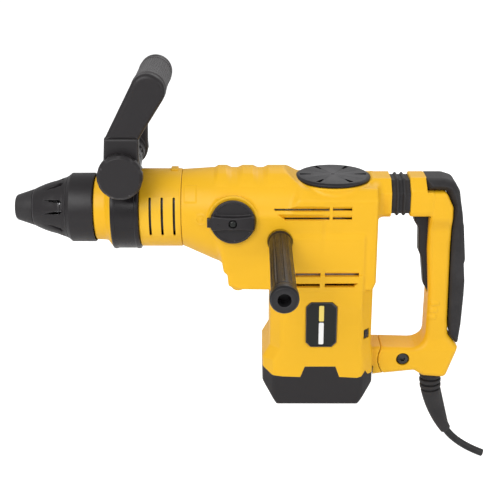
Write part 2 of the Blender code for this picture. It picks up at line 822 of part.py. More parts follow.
def housings():
    for name, side in (("housing_left", -1), ("housing_right", 1)):
        solid = housing_solid()
        cut(solid, *housing_hollow(side))
        low, high = sorted((side * 0.15 * MM, side * 80 * MM))
        keep_inside(solid, box((100 * MM, low, -300 * MM), (600 * MM, high, 100 * MM)))
        part(solid, name, "yellow_plastic")


def base_cap():
    """The black cap under the motor, hollow above, with air slots in its floor."""
    side_view = millimetres(
        [(262, -172.4), (262, -188), (277, FOOT_Z / MM), (366, FOOT_Z / MM), (381, -192), (381, -172.4)]
    )
    corner = 16 * MM
    plan = rounded(
        [
            (262 * MM, -BODY_HALF, corner),
            (381 * MM, -BODY_HALF, corner),
            (381 * MM, BODY_HALF, corner),
            (262 * MM, BODY_HALF, corner),
        ]
    )
    cap = prism(side_view, BODY_HALF)
    keep_inside(cap, prism(plan, 60 * MM, "Z", (0, 0, -190 * MM)))
    cavity = box((274 * MM, -40 * MM, -200 * MM), (371 * MM, 40 * MM, -160 * MM))
    bearing_seat = cylinder(11.5 * MM, -206.4 * MM, -190 * MM, "Z", (MOTOR_X, 0, 0), sides=24)
    cut(cap, cavity, bearing_seat)
    for i in range(5):
        slot_x = (330 + 7 * i) * MM
        cut(cap, box((slot_x, -28 * MM, -220 * MM), (slot_x + 3 * MM, 28 * MM, -190 * MM)))
    part(cap, "base_cap", "black_plastic")


def name_plate():
    """A plain plate with cut corners on the left side of the motor section."""
    low, high, left, right, trim = -141.6, -90.6, 308, 340.5, 5
    outline = [
        (left + trim, low),
        (right - trim, low),
        (right, low + trim),
        (right, high - trim),
        (right - trim, high),
        (left + trim, high),
        (left, high - trim),
        (left, low + trim),
    ]
    plate = prism(millimetres(outline), 0.6 * MM, "Y", (0, -MOTOR_HALF - 0.9 * MM, 0))
    part(plate, "name_plate", "black_plastic")


# ---------------------------------------------------------------- speed wheel

WHEEL_R = 9 * MM
WHEEL_AT = (367.4 * MM, -34.6 * MM, -129.5 * MM)
WHEEL_AXIS = Vector((1, 1, 0)).normalized()


def wheel_matrix():
    turn = Vector((0, 0, 1)).rotation_difference(WHEEL_AXIS).to_matrix().to_4x4()
    return Matrix.Translation(WHEEL_AT) @ turn


def speed_wheel_window():
    window = cylinder(WHEEL_R + 0.6 * MM, -3.4 * MM, 3.4 * MM, sides=20)
    window.matrix_world = wheel_matrix()
    return window


def speed_wheel():
    wheel = cylinder(WHEEL_R, -2.8 * MM, 2.8 * MM, sides=24)
    wheel.matrix_world = wheel_matrix()
    part(wheel, "speed_wheel", "black_plastic")


# ---------------------------------------------------------------- bow handle on the barrel clamp


def clamp_band():
    ring = [(104.7, 38.6), (104.7, 44.3), (133.3, 44.3), (133.3, 38.6)]
    band = turned(millimetres(ring), steps=28)
    ears = cylinder(15 * MM, -15 * MM, 15 * MM, "Y", (CLAMP_X, 0, CLAMP_Z), sides=28)
    join(band, ears)
    bolt_hole = cylinder(4.4 * MM, -30 * MM, 30 * MM, "Y", (CLAMP_X, 0, CLAMP_Z), sides=16)
    split = box((100 * MM, -1.5 * MM, 30 * MM), (140 * MM, 1.5 * MM, 80 * MM))
    barrel = cylinder(38.6 * MM, 100 * MM, 140 * MM, "X", sides=28)
    part(cut(band, barrel, bolt_hole, split), "clamp_band", "black_plastic")


def bow_handle():
    """The tilting U-shaped handle: two arms that lean back above a bend, and a bar between them."""
    lean = Vector((BOW_BAR[0] - 120.5 * MM, BOW_BAR[1] - 89 * MM)).normalized()
    across = Vector((lean.y, -lean.x)) * 17.5 * MM
    bar = Vector(BOW_BAR)
    start = math.degrees(math.atan2(across.y, across.x))
    outline = arc((CLAMP_X, CLAMP_Z), 18 * MM, 180, 360, 10)
    outline += [(138 * MM, 89 * MM)]
    outline += arc(bar, across.length, start, start + 180, 10)
    outline += [(103 * MM, 89 * MM)]
    handle = None
    for side in (-1, 1):
        arm = bevel(prism(outline, 6.5 * MM, "Y", (0, side * ARM_Y, 0)), 3 * MM, 1, 50)
        low, high = sorted((side * 15.4 * MM, side * 30 * MM))
        spigot = cylinder(9.8 * MM, low, high, "Y", (CLAMP_X, 0, CLAMP_Z), sides=20)
        low, high = sorted((side * 27 * MM, side * 50 * MM))
        hub = cylinder(15.5 * MM, low, high, "Y", (CLAMP_X, 0, CLAMP_Z), sides=24)
        handle = join(handle, arm) if handle else arm
        join(handle, spigot, hub)
    rod = cylinder(13 * MM, -50 * MM, 50 * MM, "Y", (BOW_BAR[0], 0, BOW_BAR[1]), sides=24)
    join(handle, rod)
    bolt_hole = cylinder(4.4 * MM, -80 * MM, 80 * MM, "Y", (CLAMP_X, 0, CLAMP_Z), sides=16)
    part(cut(handle, bolt_hole), "bow_handle", "black_plastic")
    grip = [(-45, 13.5), (-45, 16.5), (-43, 17.8), (43, 17.8), (45, 16.5), (45, 13.5)]
    sleeve = turned(millimetres(grip), "Y", (BOW_BAR[0], 0, BOW_BAR[1]), steps=24)
    part(sleeve, "bow_grip", "rubber")


def clamp_knob():
    at = (CLAMP_X, 0, CLAMP_Z)
    knob = [(-67, 0), (-67, 4.5), (-58.9, 4.5), (-58.9, 21.8), (-60.2, 23), (-68.4, 23), (-71, 20), (-71, 0)]
    part(turned(millimetres(knob), "Y", at, steps=28), "clamp_knob", "black_plastic")
    bolt = [(-66.6, 0), (-66.6, 4), (59, 4), (59, 8), (65, 8), (65, 0)]
    part(turned(millimetres(bolt), "Y", at, steps=12), "clamp_bolt", "steel")


def side_handle():
    """The fluted bar that screws into the left side of the crankcase."""
    at = (SIDE_BAR[0], 0, SIDE_BAR[1])
    grip = [(-75, 0), (-75, 5.4), (-48.4, 5.4), (-48.4, 12.3), (-192, 12.3), (-196, 13.7), (-205, 13.7)]
    grip += [(-207, 12), (-207, 6), (-190, 6), (-190, 0)]
    part(turned(millimetres(grip), "Y", at, steps=20), "side_handle_grip", "rubber")
    stud = cylinder(5 * MM, -74 * MM, -28 * MM, "Y", at, sides=16)
    part(stud, "side_handle_stud", "steel")


# ---------------------------------------------------------------- rear handle

OVERMOLD = [
    (432.5, 36),
    (452, 36),
    (463, 32.5),
    (469, 22),
    (474.5, -12),
    (479.5, -55),
    (480.5, -97),
    (479.5, -130),
    (477, -155.5),
    (466, -142),
    (464.5, -124),
    (463, -55),
    (462, 6),
    (454.3, 23.3),
    (433.8, 23.3),
]
CORE = [
    (425, 31.5),
    (451, 31.5),
    (460, 28.5),
    (464.8, 20.5),
    (470, -12),
    (475, -55),
    (476, -97),
    (475, -130),
    (473, -146),
    (455, -150),
    (450, 10),
    (425, 15),
]
SKIN_HALF = 18 * MM  # half the width of the rubber skin
CORE_HALF = 14 * MM  # half the width of the core under it


def handle_outline():
    """The rear handle's own outline, without the rubber-covered edge."""
    corners = [
        (416.3, 36, 0),
        (431.7, 36, 0),
        (432.7, 22.7, 0),
        (453.7, 22.7, 0),
        (461.7, 6, 0),
        (462.7, -55, 0),
        (464.2, -124, 0),
        (465.7, -142.3, 0),
        (476.9, -156.4, 0),
        (476, -161, 3),
        (465, -193, 6),
        (440, -191, 6),
        (430, -184, 6),
        (399, -188, 0),
        (385, -170, 0),
        (399, -156, 0),
        (443, -158, 14),
        (441, -91, 0),
        (438, -44, 0),
        (438, -4, 0),
        (416.3, -4, 0),
    ]
    return rounded(millimetres(corners), steps=5)


def rear_handle_solid():
    frame = bevel(prism(handle_outline(), 17.5 * MM), 3 * MM, 1, 50)
    arm = rear_arm_block(416.3 * MM, 431.6 * MM, 0)
    elbow = prism(
        millimetres([(425, 22.4), (448, 22.4), (452, 16), (452, -2), (425, -2)]), 24 * MM
    )
    lower = bevel(
        prism(
            rounded(
                millimetres(
                    [
                        (385, -188, 0),
                        (385, -155, 0),
                        (432, -155, 8),
                        (464, -166, 10),
                        (461, -190, 8),
                        (437, -188, 8),
                    ]
                )
            ),
            20.5 * MM,
        ),
        3 * MM,
        1,
        50,
    )
    end = prism(
        arc(PIVOT, 27 * MM, 90, 270, 16)
        + millimetres([(470, -220), (500, -150), (500, 60), (410, 60)]),
        60 * MM,
    )
    solid = join(frame, prism(millimetres(CORE), CORE_HALF), arm, elbow, lower)
    return keep_inside(solid, end)


def rear_handle_hollow():
    """The room inside the rear handle, and its openings for the damper, trigger, tongue and cord."""
    arm_room = rear_arm_block(410 * MM, 428 * MM, WALL)
    spring_room = cylinder(17 * MM, 410 * MM, 446 * MM, "X", (0, 0, 16 * MM), sides=24)
    grip_room = prism(
        millimetres(
            [(441.5, 4), (458, 4), (466, -55), (467, -124), (462, -148), (458, -176), (447, -176), (446, -91)]
        ),
        10.5 * MM,
    )
    trigger_slot = prism(
        millimetres([(421, -3), (450, -3), (455, -96), (434, -96)]), 8.6 * MM
    )
    tongue_room = box((370 * MM, -9.3 * MM, -182 * MM), (432 * MM, 9.3 * MM, -158.5 * MM))
    bolt_hole = cylinder(4.5 * MM, -40 * MM, 40 * MM, "Y", (PIVOT[0], 0, PIVOT[1]), sides=16)
    head_hole = cylinder(7.2 * MM, -40 * MM, -15.2 * MM, "Y", (PIVOT[0], 0, PIVOT[1]), sides=20)
    nut_hole = cylinder(7.2 * MM, 16 * MM, 40 * MM, "Y", (PIVOT[0], 0, PIVOT[1]), sides=20)
    cord_hole = cylinder(9.2 * MM, -220 * MM, -170 * MM, "Z", (451.5 * MM, 0, 0), sides=20)
    rooms = [arm_room, spring_room, grip_room, trigger_slot, tongue_room]
    return rooms + [bolt_hole, head_hole, nut_hole, cord_hole]


def rear_handles():
    for name, side in (("rear_handle_left", -1), ("rear_handle_right", 1)):
        solid = cut(rear_handle_solid(), *rear_handle_hollow())
        low, high = sorted((side * 0.15 * MM, side * 80 * MM))
        keep_inside(solid, box((300 * MM, low, -300 * MM), (600 * MM, high, 100 * MM)))
        part(solid, name, "yellow_plastic")


def grip_overmold():
    """The rubber skin over the back of the grip and the top of the upper arm."""
    skin = bevel(prism(millimetres(OVERMOLD), SKIN_HALF), 2 * MM, 1, 50)
    room = [
        (x + (0.3 if x > 453 else 0), z + (0.3 if z > 0 else -0.3 if z < -140 else 0))
        for x, z in CORE
    ]
    cut(skin, prism(millimetres(room), CORE_HALF + GAP))
    part(skin, "grip_overmold", "rubber")


def trigger():
    """The long lever switch. It turns about its top end, so its lower end goes into the handle."""
    corners = [
        (423, -6.5, 2),
        (441, -6.5, 2),
        (444, -92, 0),
        (441.4, -93, 0),
        (436.8, -86, 0),
        (433, -55, 0),
        (429.8, -47, 0),
        (429, -17, 0),
        (423, -12, 0),
    ]
    lever = bevel(prism(rounded(millimetres(corners)), 7.8 * MM), 1.5 * MM, 1, 50)
    part(lever, "trigger", "black_plastic")
    switch = box((447 * MM, -8 * MM, -46 * MM), (457 * MM, 8 * MM, -10 * MM))
    part(bevel(switch, 1 * MM), "switch_body", "black_plastic")


def bellows():
    """The rubber bellows between the housing and the rear handle, over the damper spring."""
    sleeve = rear_arm_block(396.3 * MM, 416 * MM, 0)
    for ridge_x in (402.5, 409.5):
        join(sleeve, rear_arm_block((ridge_x - 1.1) * MM, (ridge_x + 1.1) * MM, -2.2 * MM))
    cut(sleeve, rear_arm_block(390 * MM, 420 * MM, 4 * MM))
    part(sleeve, "bellows", "rubber")
    coil = helix(12 * MM, 390 * MM, 438 * MM, 5, (0, 16 * MM))
    part(tube(coil, 1.8 * MM), "damper_spring", "steel")


def pivot_bolt():
    profile = [(-19.5, 0), (-19.5, 6.6), (-15.6, 6.6), (-15.6, 4), (19, 4), (19, 0)]
    bolt = turned(millimetres(profile), "Y", (PIVOT[0], 0, PIVOT[1]), steps=16)
    part(bolt, "pivot_bolt", "dark_steel")


def cord():
    """The cord and its tapered boot, which leave the handle's underside and bend back."""
    bend_r = 128 * MM
    bend = (451.5 * MM + bend_r, -196 * MM)
    swing = 34
    centre_line = [(bend[0] - bend_r, -186 * MM)]
    centre_line += arc(bend, bend_r, 180, 180 + swing, 12)
    ribs = [1.12, 1.12, 0.86, 1.08, 0.86]
    ribs += [1.0 - 0.45 * (i / 8) for i in range(9)]
    boot = tube([(x, 0, z) for x, z in centre_line], 10.8 * MM, ribs, resolution=3)
    # The top of the boot stands inside the handle's cord hole.
    neck = cylinder(8.6 * MM, -200 * MM, -180 * MM, "Z", (bend[0] - bend_r, 0, 0), sides=16)
    collar = box((400 * MM, -30 * MM, -193.5 * MM), (500 * MM, 30 * MM, -150 * MM))
    cut(boot, collar)
    part(join(boot, neck), "cord_boot", "rubber")
    end = centre_line[-1]
    turn = math.radians(180 + swing)
    along = Vector((-math.sin(turn), math.cos(turn)))
    points = []
    for distance in (1.4, 12, 24, 36, 54):
        bent = Matrix.Rotation(math.radians(min(distance, 24) * 0.8), 2) @ along
        points.append((end[0] + bent.x * distance * MM, 0, end[1] + bent.y * distance * MM))
    part(tube(points, 4.3 * MM, resolution=3), "cord", "rubber")


# ---------------------------------------------------------------- joints' empties

JOINTS = {  # empty: (parent empty, a point on the joint's axis, the pieces that it carries)
    "spindle_axis": ("base_point", (0, 0, 0), "tool_holder dust_cap lock_roller_upper lock_roller_lower"),
    "sleeve_axis": ("spindle_axis", (0.052, 0, 0), "locking_sleeve sleeve_ring"),
    "impact_bolt_axis": ("spindle_axis", (0.12, 0, 0), "impact_bolt"),
    "clamp_axis": ("base_point", (CLAMP_X, 0, 0), "clamp_band"),
    "bow_axis": ("clamp_axis", (CLAMP_X, 0, CLAMP_Z), "bow_handle bow_grip"),
    "clamp_knob_axis": ("clamp_axis", (CLAMP_X, 0, CLAMP_Z), "clamp_knob clamp_bolt"),
    "mode_axis": ("base_point", (KNOB_X, 0, 0), "mode_knob"),
    "knob_button_axis": ("mode_axis", (KNOB_X, -0.055, 0), "knob_button"),
    "lock_sleeve_axis": ("base_point", (KNOB_X, 0, 0), "lock_sleeve"),
    "striker_axis": ("base_point", (0.2, 0, 0), "striker"),
    "piston_axis": ("base_point", (CRANK_X + CRANK_THROW - ROD_LENGTH, 0, 0), "piston piston_pin"),
    "rod_axis": ("piston_axis", (CRANK_X + CRANK_THROW - ROD_LENGTH, 0, 0), "con_rod crank_pin"),
    "crank_axis": ("base_point", (CRANK_X, 0, 0), "crank_shaft crank_gear"),
    "motor_axis": ("base_point", (MOTOR_X, 0, 0), "armature_shaft armature_core commutator cooling_fan"),
    "speed_axis": ("base_point", WHEEL_AT, "speed_wheel"),
    "handle_axis": (
        "base_point",
        (PIVOT[0], 0, PIVOT[1]),
        "rear_handle_left rear_handle_right grip_overmold switch_body cord_boot cord",
    ),
    "trigger_axis": ("handle_axis", (TRIGGER_PIVOT[0], 0, TRIGGER_PIVOT[1]), "trigger"),
}


def new_empty(name, at):
    empty = bpy.data.objects.new(name, None)
    empty.empty_display_size = 10 * MM
    empty.matrix_world = Matrix.Translation(at)
    PARTS.objects.link(empty)
    return empty


def carry(obj, empty):
    """Parents a piece to an empty where it stands, with the cutters and joiners that shape it."""
    obj.parent = empty
    obj.matrix_parent_inverse = empty.matrix_world.inverted()
    for modifier in obj.modifiers:
        if modifier.type == "BOOLEAN" and modifier.object.parent is None:
            carry(modifier.object, empty)


def assemble():
    """Hangs every piece on its joint's empty, then moves the whole object to its own origin."""
    empties = {"base_point": new_empty("base_point", (MOTOR_X, 0, FOOT_Z))}
    for name, (parent, at, _) in JOINTS.items():
        empties[name] = new_empty(name, at)
    bpy.context.view_layer.update()
    for name, (parent, _, carried) in JOINTS.items():
        for node in carried.split():
            carry(PARTS.objects[node], empties[name])
        carry(empties[name], empties[parent])
    for obj in [*PARTS.objects, *CUTTERS.objects]:
        if obj.parent is None and obj is not empties["base_point"]:
            carry(obj, empties["base_point"])
    empties["base_point"].matrix_world = Matrix.Identity(4)


tool_holder()
lock_rollers()
dust_cap()
locking_sleeve()
sleeve_ring()
release_spring()
front_bearing()
barrel_housing()
barrel_cover()
impact_bolt()
striker()
hammer_cylinder()
piston()
connecting_rod()
crank()
crankcase()
crank_cap()
lock_sleeve()
mode_knob()
armature()
cooling_fan()
motor_bearings()
stator()
brushes()
housings()
base_cap()
name_plate()
speed_wheel()
clamp_band()
bow_handle()
clamp_knob()
side_handle()
rear_handles()
grip_overmold()
trigger()
bellows()
pivot_bolt()
cord()
assemble()
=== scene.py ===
"""Looks of the demolition hammer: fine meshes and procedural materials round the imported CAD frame.

Shapes are drawn in millimetres in the hammer's own drawing frame: x = 0 is the nose's front face, the hammer
axis is y = z = 0, +X runs back to the operator and -Y is the side with the mode knob. ORIGIN takes them to
the frame. Moulded bodies are distance fields (negative inside), turned into closed meshes by surface nets.
Turned parts are profiles swept round an axis, and slots, seams and recesses are cut from both with Booleans.
"""

import math

import bmesh
import bpy
import numpy as np
from mathutils import Matrix, Vector


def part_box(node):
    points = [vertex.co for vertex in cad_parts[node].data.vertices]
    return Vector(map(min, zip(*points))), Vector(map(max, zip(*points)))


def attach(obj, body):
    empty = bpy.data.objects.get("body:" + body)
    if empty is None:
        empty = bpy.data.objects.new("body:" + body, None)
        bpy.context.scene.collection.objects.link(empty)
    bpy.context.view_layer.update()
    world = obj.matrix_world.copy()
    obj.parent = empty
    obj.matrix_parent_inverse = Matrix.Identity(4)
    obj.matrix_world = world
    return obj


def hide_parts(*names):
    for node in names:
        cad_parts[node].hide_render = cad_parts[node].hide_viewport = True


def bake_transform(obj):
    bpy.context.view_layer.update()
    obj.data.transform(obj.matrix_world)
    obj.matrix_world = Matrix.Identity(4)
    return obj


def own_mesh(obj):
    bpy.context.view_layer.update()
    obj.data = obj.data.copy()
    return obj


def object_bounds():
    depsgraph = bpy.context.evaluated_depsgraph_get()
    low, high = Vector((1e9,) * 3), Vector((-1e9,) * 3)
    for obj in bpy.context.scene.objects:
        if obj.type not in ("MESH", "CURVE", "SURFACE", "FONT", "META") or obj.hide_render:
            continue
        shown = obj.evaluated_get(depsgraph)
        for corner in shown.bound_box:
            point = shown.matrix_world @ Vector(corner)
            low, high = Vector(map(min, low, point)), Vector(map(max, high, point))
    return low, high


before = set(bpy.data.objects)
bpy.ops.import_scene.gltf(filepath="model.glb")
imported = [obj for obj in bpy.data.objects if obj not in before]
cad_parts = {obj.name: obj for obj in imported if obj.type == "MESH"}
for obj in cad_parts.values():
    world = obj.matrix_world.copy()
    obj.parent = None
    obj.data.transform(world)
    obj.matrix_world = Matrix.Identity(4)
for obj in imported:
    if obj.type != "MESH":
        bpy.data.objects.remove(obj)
CAD_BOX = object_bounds()

MM = 0.001
GAP = 0.3  # air between neighbouring pieces


def drawing_origin():
    """The nose's centre in the frame: the dust cap is foremost, and round about the hammer axis."""
    low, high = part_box("dust_cap")
    return np.array([low.x, (low.y + high.y) / 2, (low.z + high.z) / 2])


ORIGIN = drawing_origin()


def drawn_box(node):
    """A CAD node's lowest and highest corners in the drawing frame, in millimetres."""
    low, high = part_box(node)
    return (np.array(low) - ORIGIN) / MM, (np.array(high) - ORIGIN) / MM


def middle_of(node):
    low, high = drawn_box(node)
    return (low + high) / 2


# Places read from the frame, in drawing millimetres.
CAP = middle_of("crank_cap")
CAP_R = (drawn_box("crank_cap")[1][0] - drawn_box("crank_cap")[0][0]) / 2
KNOB = middle_of("knob_button")
CLAMP = middle_of("clamp_bolt")
SIDE_BAR = middle_of("side_handle_grip")
PIVOT = middle_of("pivot_bolt")
WHEEL = middle_of("speed_wheel")
BAR = middle_of("bow_grip")
FLOOR_Z = drawn_box("base_cap")[0][2]
BODY_HALF = drawn_box("base_cap")[1][1]

# ---------------------------------------------------------------- fields: shapes as signed distances


def length(*parts):
    return np.sqrt(sum(part * part for part in parts))


def join_round(a, b, radius):
    """Union with a fillet of about this radius."""
    u, v = np.maximum(radius - a, 0), np.maximum(radius - b, 0)
    return np.maximum(radius, np.minimum(a, b)) - length(u, v)


def meet_round(a, b, radius):
    """Intersection with its edge rounded to this radius."""
    return -join_round(-a, -b, radius)


def cut_round(a, b, radius):
    """a with b taken away, and the new edge rounded."""
    return meet_round(a, -b, radius)


def outline_field(u, v, outline):
    """Distance to a closed flat outline."""
    corners = np.array(outline, float)
    nearest = np.full(np.shape(u), np.inf)
    inside = np.zeros(np.shape(u), bool)
    for (ax, ay), (bx, by) in zip(corners, np.roll(corners, -1, axis=0)):
        ex, ey = bx - ax, by - ay
        if ex == ey == 0:
            continue
        wx, wy = u - ax, v - ay
        along = np.clip((wx * ex + wy * ey) / (ex * ex + ey * ey), 0, 1)
        nearest = np.minimum(nearest, (wx - ex * along) ** 2 + (wy - ey * along) ** 2)
        if ay != by:
            inside ^= ((ay > v) != (by > v)) & (u < ex * (v - ay) / ey + ax)
    return np.where(inside, -1, 1) * np.sqrt(nearest)


def slab_field(along, low, high):
    return np.maximum(low - along, along - high)


def box_field(p, low, high, radius):
    """A box with rounded edges."""
    low, high = np.array(low, float), np.array(high, float)
    reach = np.abs(p - (low + high) / 2) - (high - low) / 2 + radius
    outside = np.sqrt((np.maximum(reach, 0) ** 2).sum(axis=1))
    return outside + np.minimum(reach.max(axis=1), 0) - radius


def rod_field(p, axis, centre, radius, low, high, edge):
    """A round rod along an axis (0, 1 or 2) through the centre, with rounded ends."""
    others = [i for i in range(3) if i != axis]
    around = length(*(p[:, i] - centre[i] for i in others)) - radius
    return meet_round(around, slab_field(p[:, axis], low, high), edge)


def ramp(value, start, end):
    """0 before start, 1 after end, and straight between."""
    return np.clip((value - start) / (end - start), 0, 1)


def ease(value, start, end):
    share = ramp(value, start, end)
    return share * share * (3 - 2 * share)


def arc(centre, radius, start, end, steps=12):
    """Points along an arc, angles in degrees."""
    turns = np.radians(np.linspace(start, end, steps + 1))
    return [(centre[0] + radius * math.cos(t), centre[1] + radius * math.sin(t)) for t in turns]


def rounded(corners, steps=5):
    """An outline whose corners are (u, v, radius), with each corner turned into an arc."""
    made = []
    for i, (u, v, radius) in enumerate(corners):
        here = Vector((u, v))
        back = Vector(corners[i - 1][:2]) - here
        ahead = Vector(corners[(i + 1) % len(corners)][:2]) - here
        if radius == 0 or abs(back.angle_signed(ahead)) > math.pi - 1e-4:
            made.append((u, v))
            continue
        reach = radius / math.tan(back.angle(ahead) / 2)
        first, last = here + back.normalized() * reach, here + ahead.normalized() * reach
        middle = (back.normalized() + ahead.normalized()).normalized()
        centre = here + middle * math.hypot(reach, radius)
        a, b = first - centre, last - centre
        swing = a.angle_signed(b)
        for k in range(steps + 1):
            made.append(tuple(centre + Matrix.Rotation(-swing * k / steps, 2) @ a))
    return made


# ---------------------------------------------------------------- meshes from fields

BLOCK = 8  # cells along one side of a block


def sample(field, low, step, blocks):
    """Field values on a grid, worked out only in the blocks that the surface may pass through."""
    centres = low + (np.indices(blocks).reshape(3, -1).T + 0.5) * BLOCK * step
    coarse = field(centres).reshape(blocks)
    values = coarse.astype(np.float32)
    for axis in range(3):
        values = np.repeat(values, BLOCK, axis=axis)
    reach = BLOCK * step * 1.2
    near = np.argwhere(np.abs(coarse) < reach)
    offsets = np.indices((BLOCK,) * 3).reshape(3, -1).T
    for chunk in np.array_split(near, max(1, len(near) // 300)):
        index = (chunk[:, None, :] * BLOCK + offsets).reshape(-1, 3)
        values[tuple(index.T)] = field(low + index * step)
    return values


def net(values):
    """Surface nets: one point in each cell that the surface crosses, and a face round each crossed edge."""
    inside = values < 0
    size = np.array(values.shape)
    corners = [(i, j, k) for i in (0, 1) for j in (0, 1) for k in (0, 1)]
    views = [inside[i : size[0] - 1 + i, j : size[1] - 1 + j, k : size[2] - 1 + k] for i, j, k in corners]
    crossed = np.logical_or.reduce(views) & ~np.logical_and.reduce(views)
    cells = np.argwhere(crossed)
    number = np.full(crossed.shape, -1, np.int64)
    number[crossed] = np.arange(len(cells))
    at = {c: values[tuple((cells + c).T)].astype(float) for c in corners}
    total, count = np.zeros((len(cells), 3)), np.zeros((len(cells), 1))
    for a in corners:
        for axis in range(3):
            if a[axis]:
                continue
            b = tuple(1 if i == axis else a[i] for i in range(3))
            cross = (at[a] < 0) != (at[b] < 0)
            share = np.where(cross, at[a] / np.where(cross, at[a] - at[b], 1), 0)
            point = np.repeat(np.array([a], float), len(cells), axis=0)
            point[:, axis] += share
            total += point * cross[:, None]
            count += cross[:, None]
    faces = []
    for axis in range(3):
        ahead = [slice(None)] * 3
        ahead[axis] = slice(1, None)
        here = [slice(None)] * 3
        here[axis] = slice(None, -1)
        edges = np.argwhere(inside[tuple(here)] != inside[tuple(ahead)])
        u, v = (axis + 1) % 3, (axis + 2) % 3
        edges = edges[(edges[:, u] > 0) & (edges[:, v] > 0)]
        edges = edges[(edges[:, u] < size[u] - 1) & (edges[:, v] < size[v] - 1)]
        step_u, step_v = np.eye(3, dtype=int)[u], np.eye(3, dtype=int)[v]
        ring = [edges - step_u - step_v, edges - step_v, edges, edges - step_u]
        quad = np.stack([number[tuple(r.T)] for r in ring], axis=1)
        outward = inside[tuple(edges.T)]
        quad[~outward] = quad[~outward][:, ::-1]
        faces.append(quad)
    return cells + total / count, np.concatenate(faces)


def settle(field, points, most, rounds=2):
    """Moves points onto the field's surface along its slope."""
    nudge = 0.02
    for _ in range(rounds):
        value = field(points)
        slope = np.stack(
            [(field(points + nudge * np.eye(3)[i]) - value) / nudge for i in range(3)], axis=1
        )
        move = -value / np.maximum((slope**2).sum(axis=1), 0.05)
        points = points + np.clip(slope * move[:, None], -most, most)
    return points


def grown(field, low, high, step):
    """The mesh of a field's surface, as points and faces."""
    low = np.array(low, float) - 2.5 * step
    blocks = np.ceil((np.array(high) + 2.5 * step - low) / step / BLOCK).astype(int)
    points, faces = net(sample(field, low, step, tuple(blocks)))
    return settle(field, low + points * step, step * 0.6), faces


# ---------------------------------------------------------------- mesh objects


def mesh_object(name, points, faces):
    mesh = bpy.data.meshes.new(name)
    mesh.from_pydata(np.asarray(points, float).tolist(), [], [list(map(int, f)) for f in faces])
    mesh.update()
    obj = bpy.data.objects.new(name, mesh)
    bpy.context.scene.collection.objects.link(obj)
    return obj


COARSER = 1.0


def moulded(name, field, low, high, step):
    return mesh_object(name, *grown(field, low, high, step * COARSER))


def clean(obj, distance=0.002):
    """Welds points that meet and turns every face outwards."""
    bm = bmesh.new()
    bm.from_mesh(obj.data)
    bmesh.ops.remove_doubles(bm, verts=bm.verts, dist=distance)
    bmesh.ops.recalc_face_normals(bm, faces=bm.faces)
    bm.to_mesh(obj.data)
    bm.free()
    return obj


AXES = {  # columns: where a turned shape's own x, y and axis (z) go
    "X": Matrix(((0, 0, 1), (1, 0, 0), (0, 1, 0))),
    "Y": Matrix(((0, 1, 0), (0, 0, 1), (1, 0, 0))),
    "Z": Matrix.Identity(3),
}


def lathe(name, profile, axis="X", centre=(0, 0, 0), steps=128, fillet=3, wave=None):
    """A turned solid. Profile corners are (station, radius, fillet), as one closed loop.
    wave(station, radius, angle) may change the radius as it goes round."""
    corners = [(c[0], c[1], c[2] if len(c) > 2 else 0) for c in profile]
    loop = np.array(rounded(corners, fillet))
    turns = 2 * math.pi * np.arange(steps) / steps
    station = np.tile(loop[:, 0], steps)
    radius = np.tile(loop[:, 1], steps)
    angle = np.repeat(turns, len(loop))
    if wave:
        radius = wave(station, radius, angle)
    own = np.stack([radius * np.cos(angle), radius * np.sin(angle), station], axis=1)
    offset = np.array(centre, float)
    offset["XYZ".index(axis)] = 0
    points = own @ np.array(AXES[axis]).T + offset
    count = len(loop)
    faces = []
    for i in range(steps):
        a, b = i * count, (i + 1) % steps * count
        for k in range(count):
            n = (k + 1) % count
            if loop[k, 1] > 1e-6 or loop[n, 1] > 1e-6:
                faces.append((a + k, a + n, b + n, b + k))
    return clean(mesh_object(name, points, faces))


def prism(name, outline, low, high, axis="Y"):
    """A flat outline given thickness: outlines are (x, z) for Y, (y, z) for X and (x, y) for Z."""
    bm = bmesh.new()
    order = {"X": (2, 0, 1), "Y": (0, 2, 1), "Z": (0, 1, 2)}[axis]
    verts = []
    for u, v in outline:
        own = (u, v, low)
        verts.append(bm.verts.new([own[i] for i in order]))
    face = bm.faces.new(verts)
    made = bmesh.ops.extrude_face_region(bm, geom=[face])
    shift = [(0, 0, high - low)[i] for i in order]
    moved = [g for g in made["geom"] if isinstance(g, bmesh.types.BMVert)]
    bmesh.ops.translate(bm, vec=shift, verts=moved)
    bmesh.ops.recalc_face_normals(bm, faces=bm.faces)
    mesh = bpy.data.meshes.new(name)
    bm.to_mesh(mesh)
    bm.free()
    obj = bpy.data.objects.new(name, mesh)
    bpy.context.scene.collection.objects.link(obj)
    return obj


def block(low, high):
    outline = [(low[0], low[1]), (high[0], low[1]), (high[0], high[1]), (low[0], high[1])]
    return prism("block", outline, low[2], high[2], "Z")


def rod(axis, centre, radius, low, high, steps=64, end_radius=None):
    end_radius = radius if end_radius is None else end_radius
    profile = [(low, 0), (low, radius), (high, end_radius), (high, 0)]
    return lathe("rod", profile, axis, centre, steps)


def combine(obj, other, operation):
    """A Boolean, applied at once. The other object is used up."""
    modifier = obj.modifiers.new("boolean", "BOOLEAN")
    modifier.object = other
    modifier.operation = operation
    modifier.solver = "MANIFOLD"
    bpy.context.view_layer.update()
    graph = bpy.context.evaluated_depsgraph_get()
    mesh = bpy.data.meshes.new_from_object(obj.evaluated_get(graph))
    obj.modifiers.clear()
    obj.data = mesh
    bpy.data.objects.remove(other)
    return obj


def merged(objects):
    """Several closed meshes as one object, which a Boolean takes as one shape when they don't overlap."""
    bm = bmesh.new()
    for obj in objects:
        obj.data.transform(obj.matrix_basis)
        bm.from_mesh(obj.data)
        bpy.data.objects.remove(obj)
    mesh = bpy.data.meshes.new("merged")
    bm.to_mesh(mesh)
    bm.free()
    made = bpy.data.objects.new("merged", mesh)
    bpy.context.scene.collection.objects.link(made)
    return made


def cut(obj, *others):
    for other in others:
        combine(obj, other, "DIFFERENCE")
    return obj


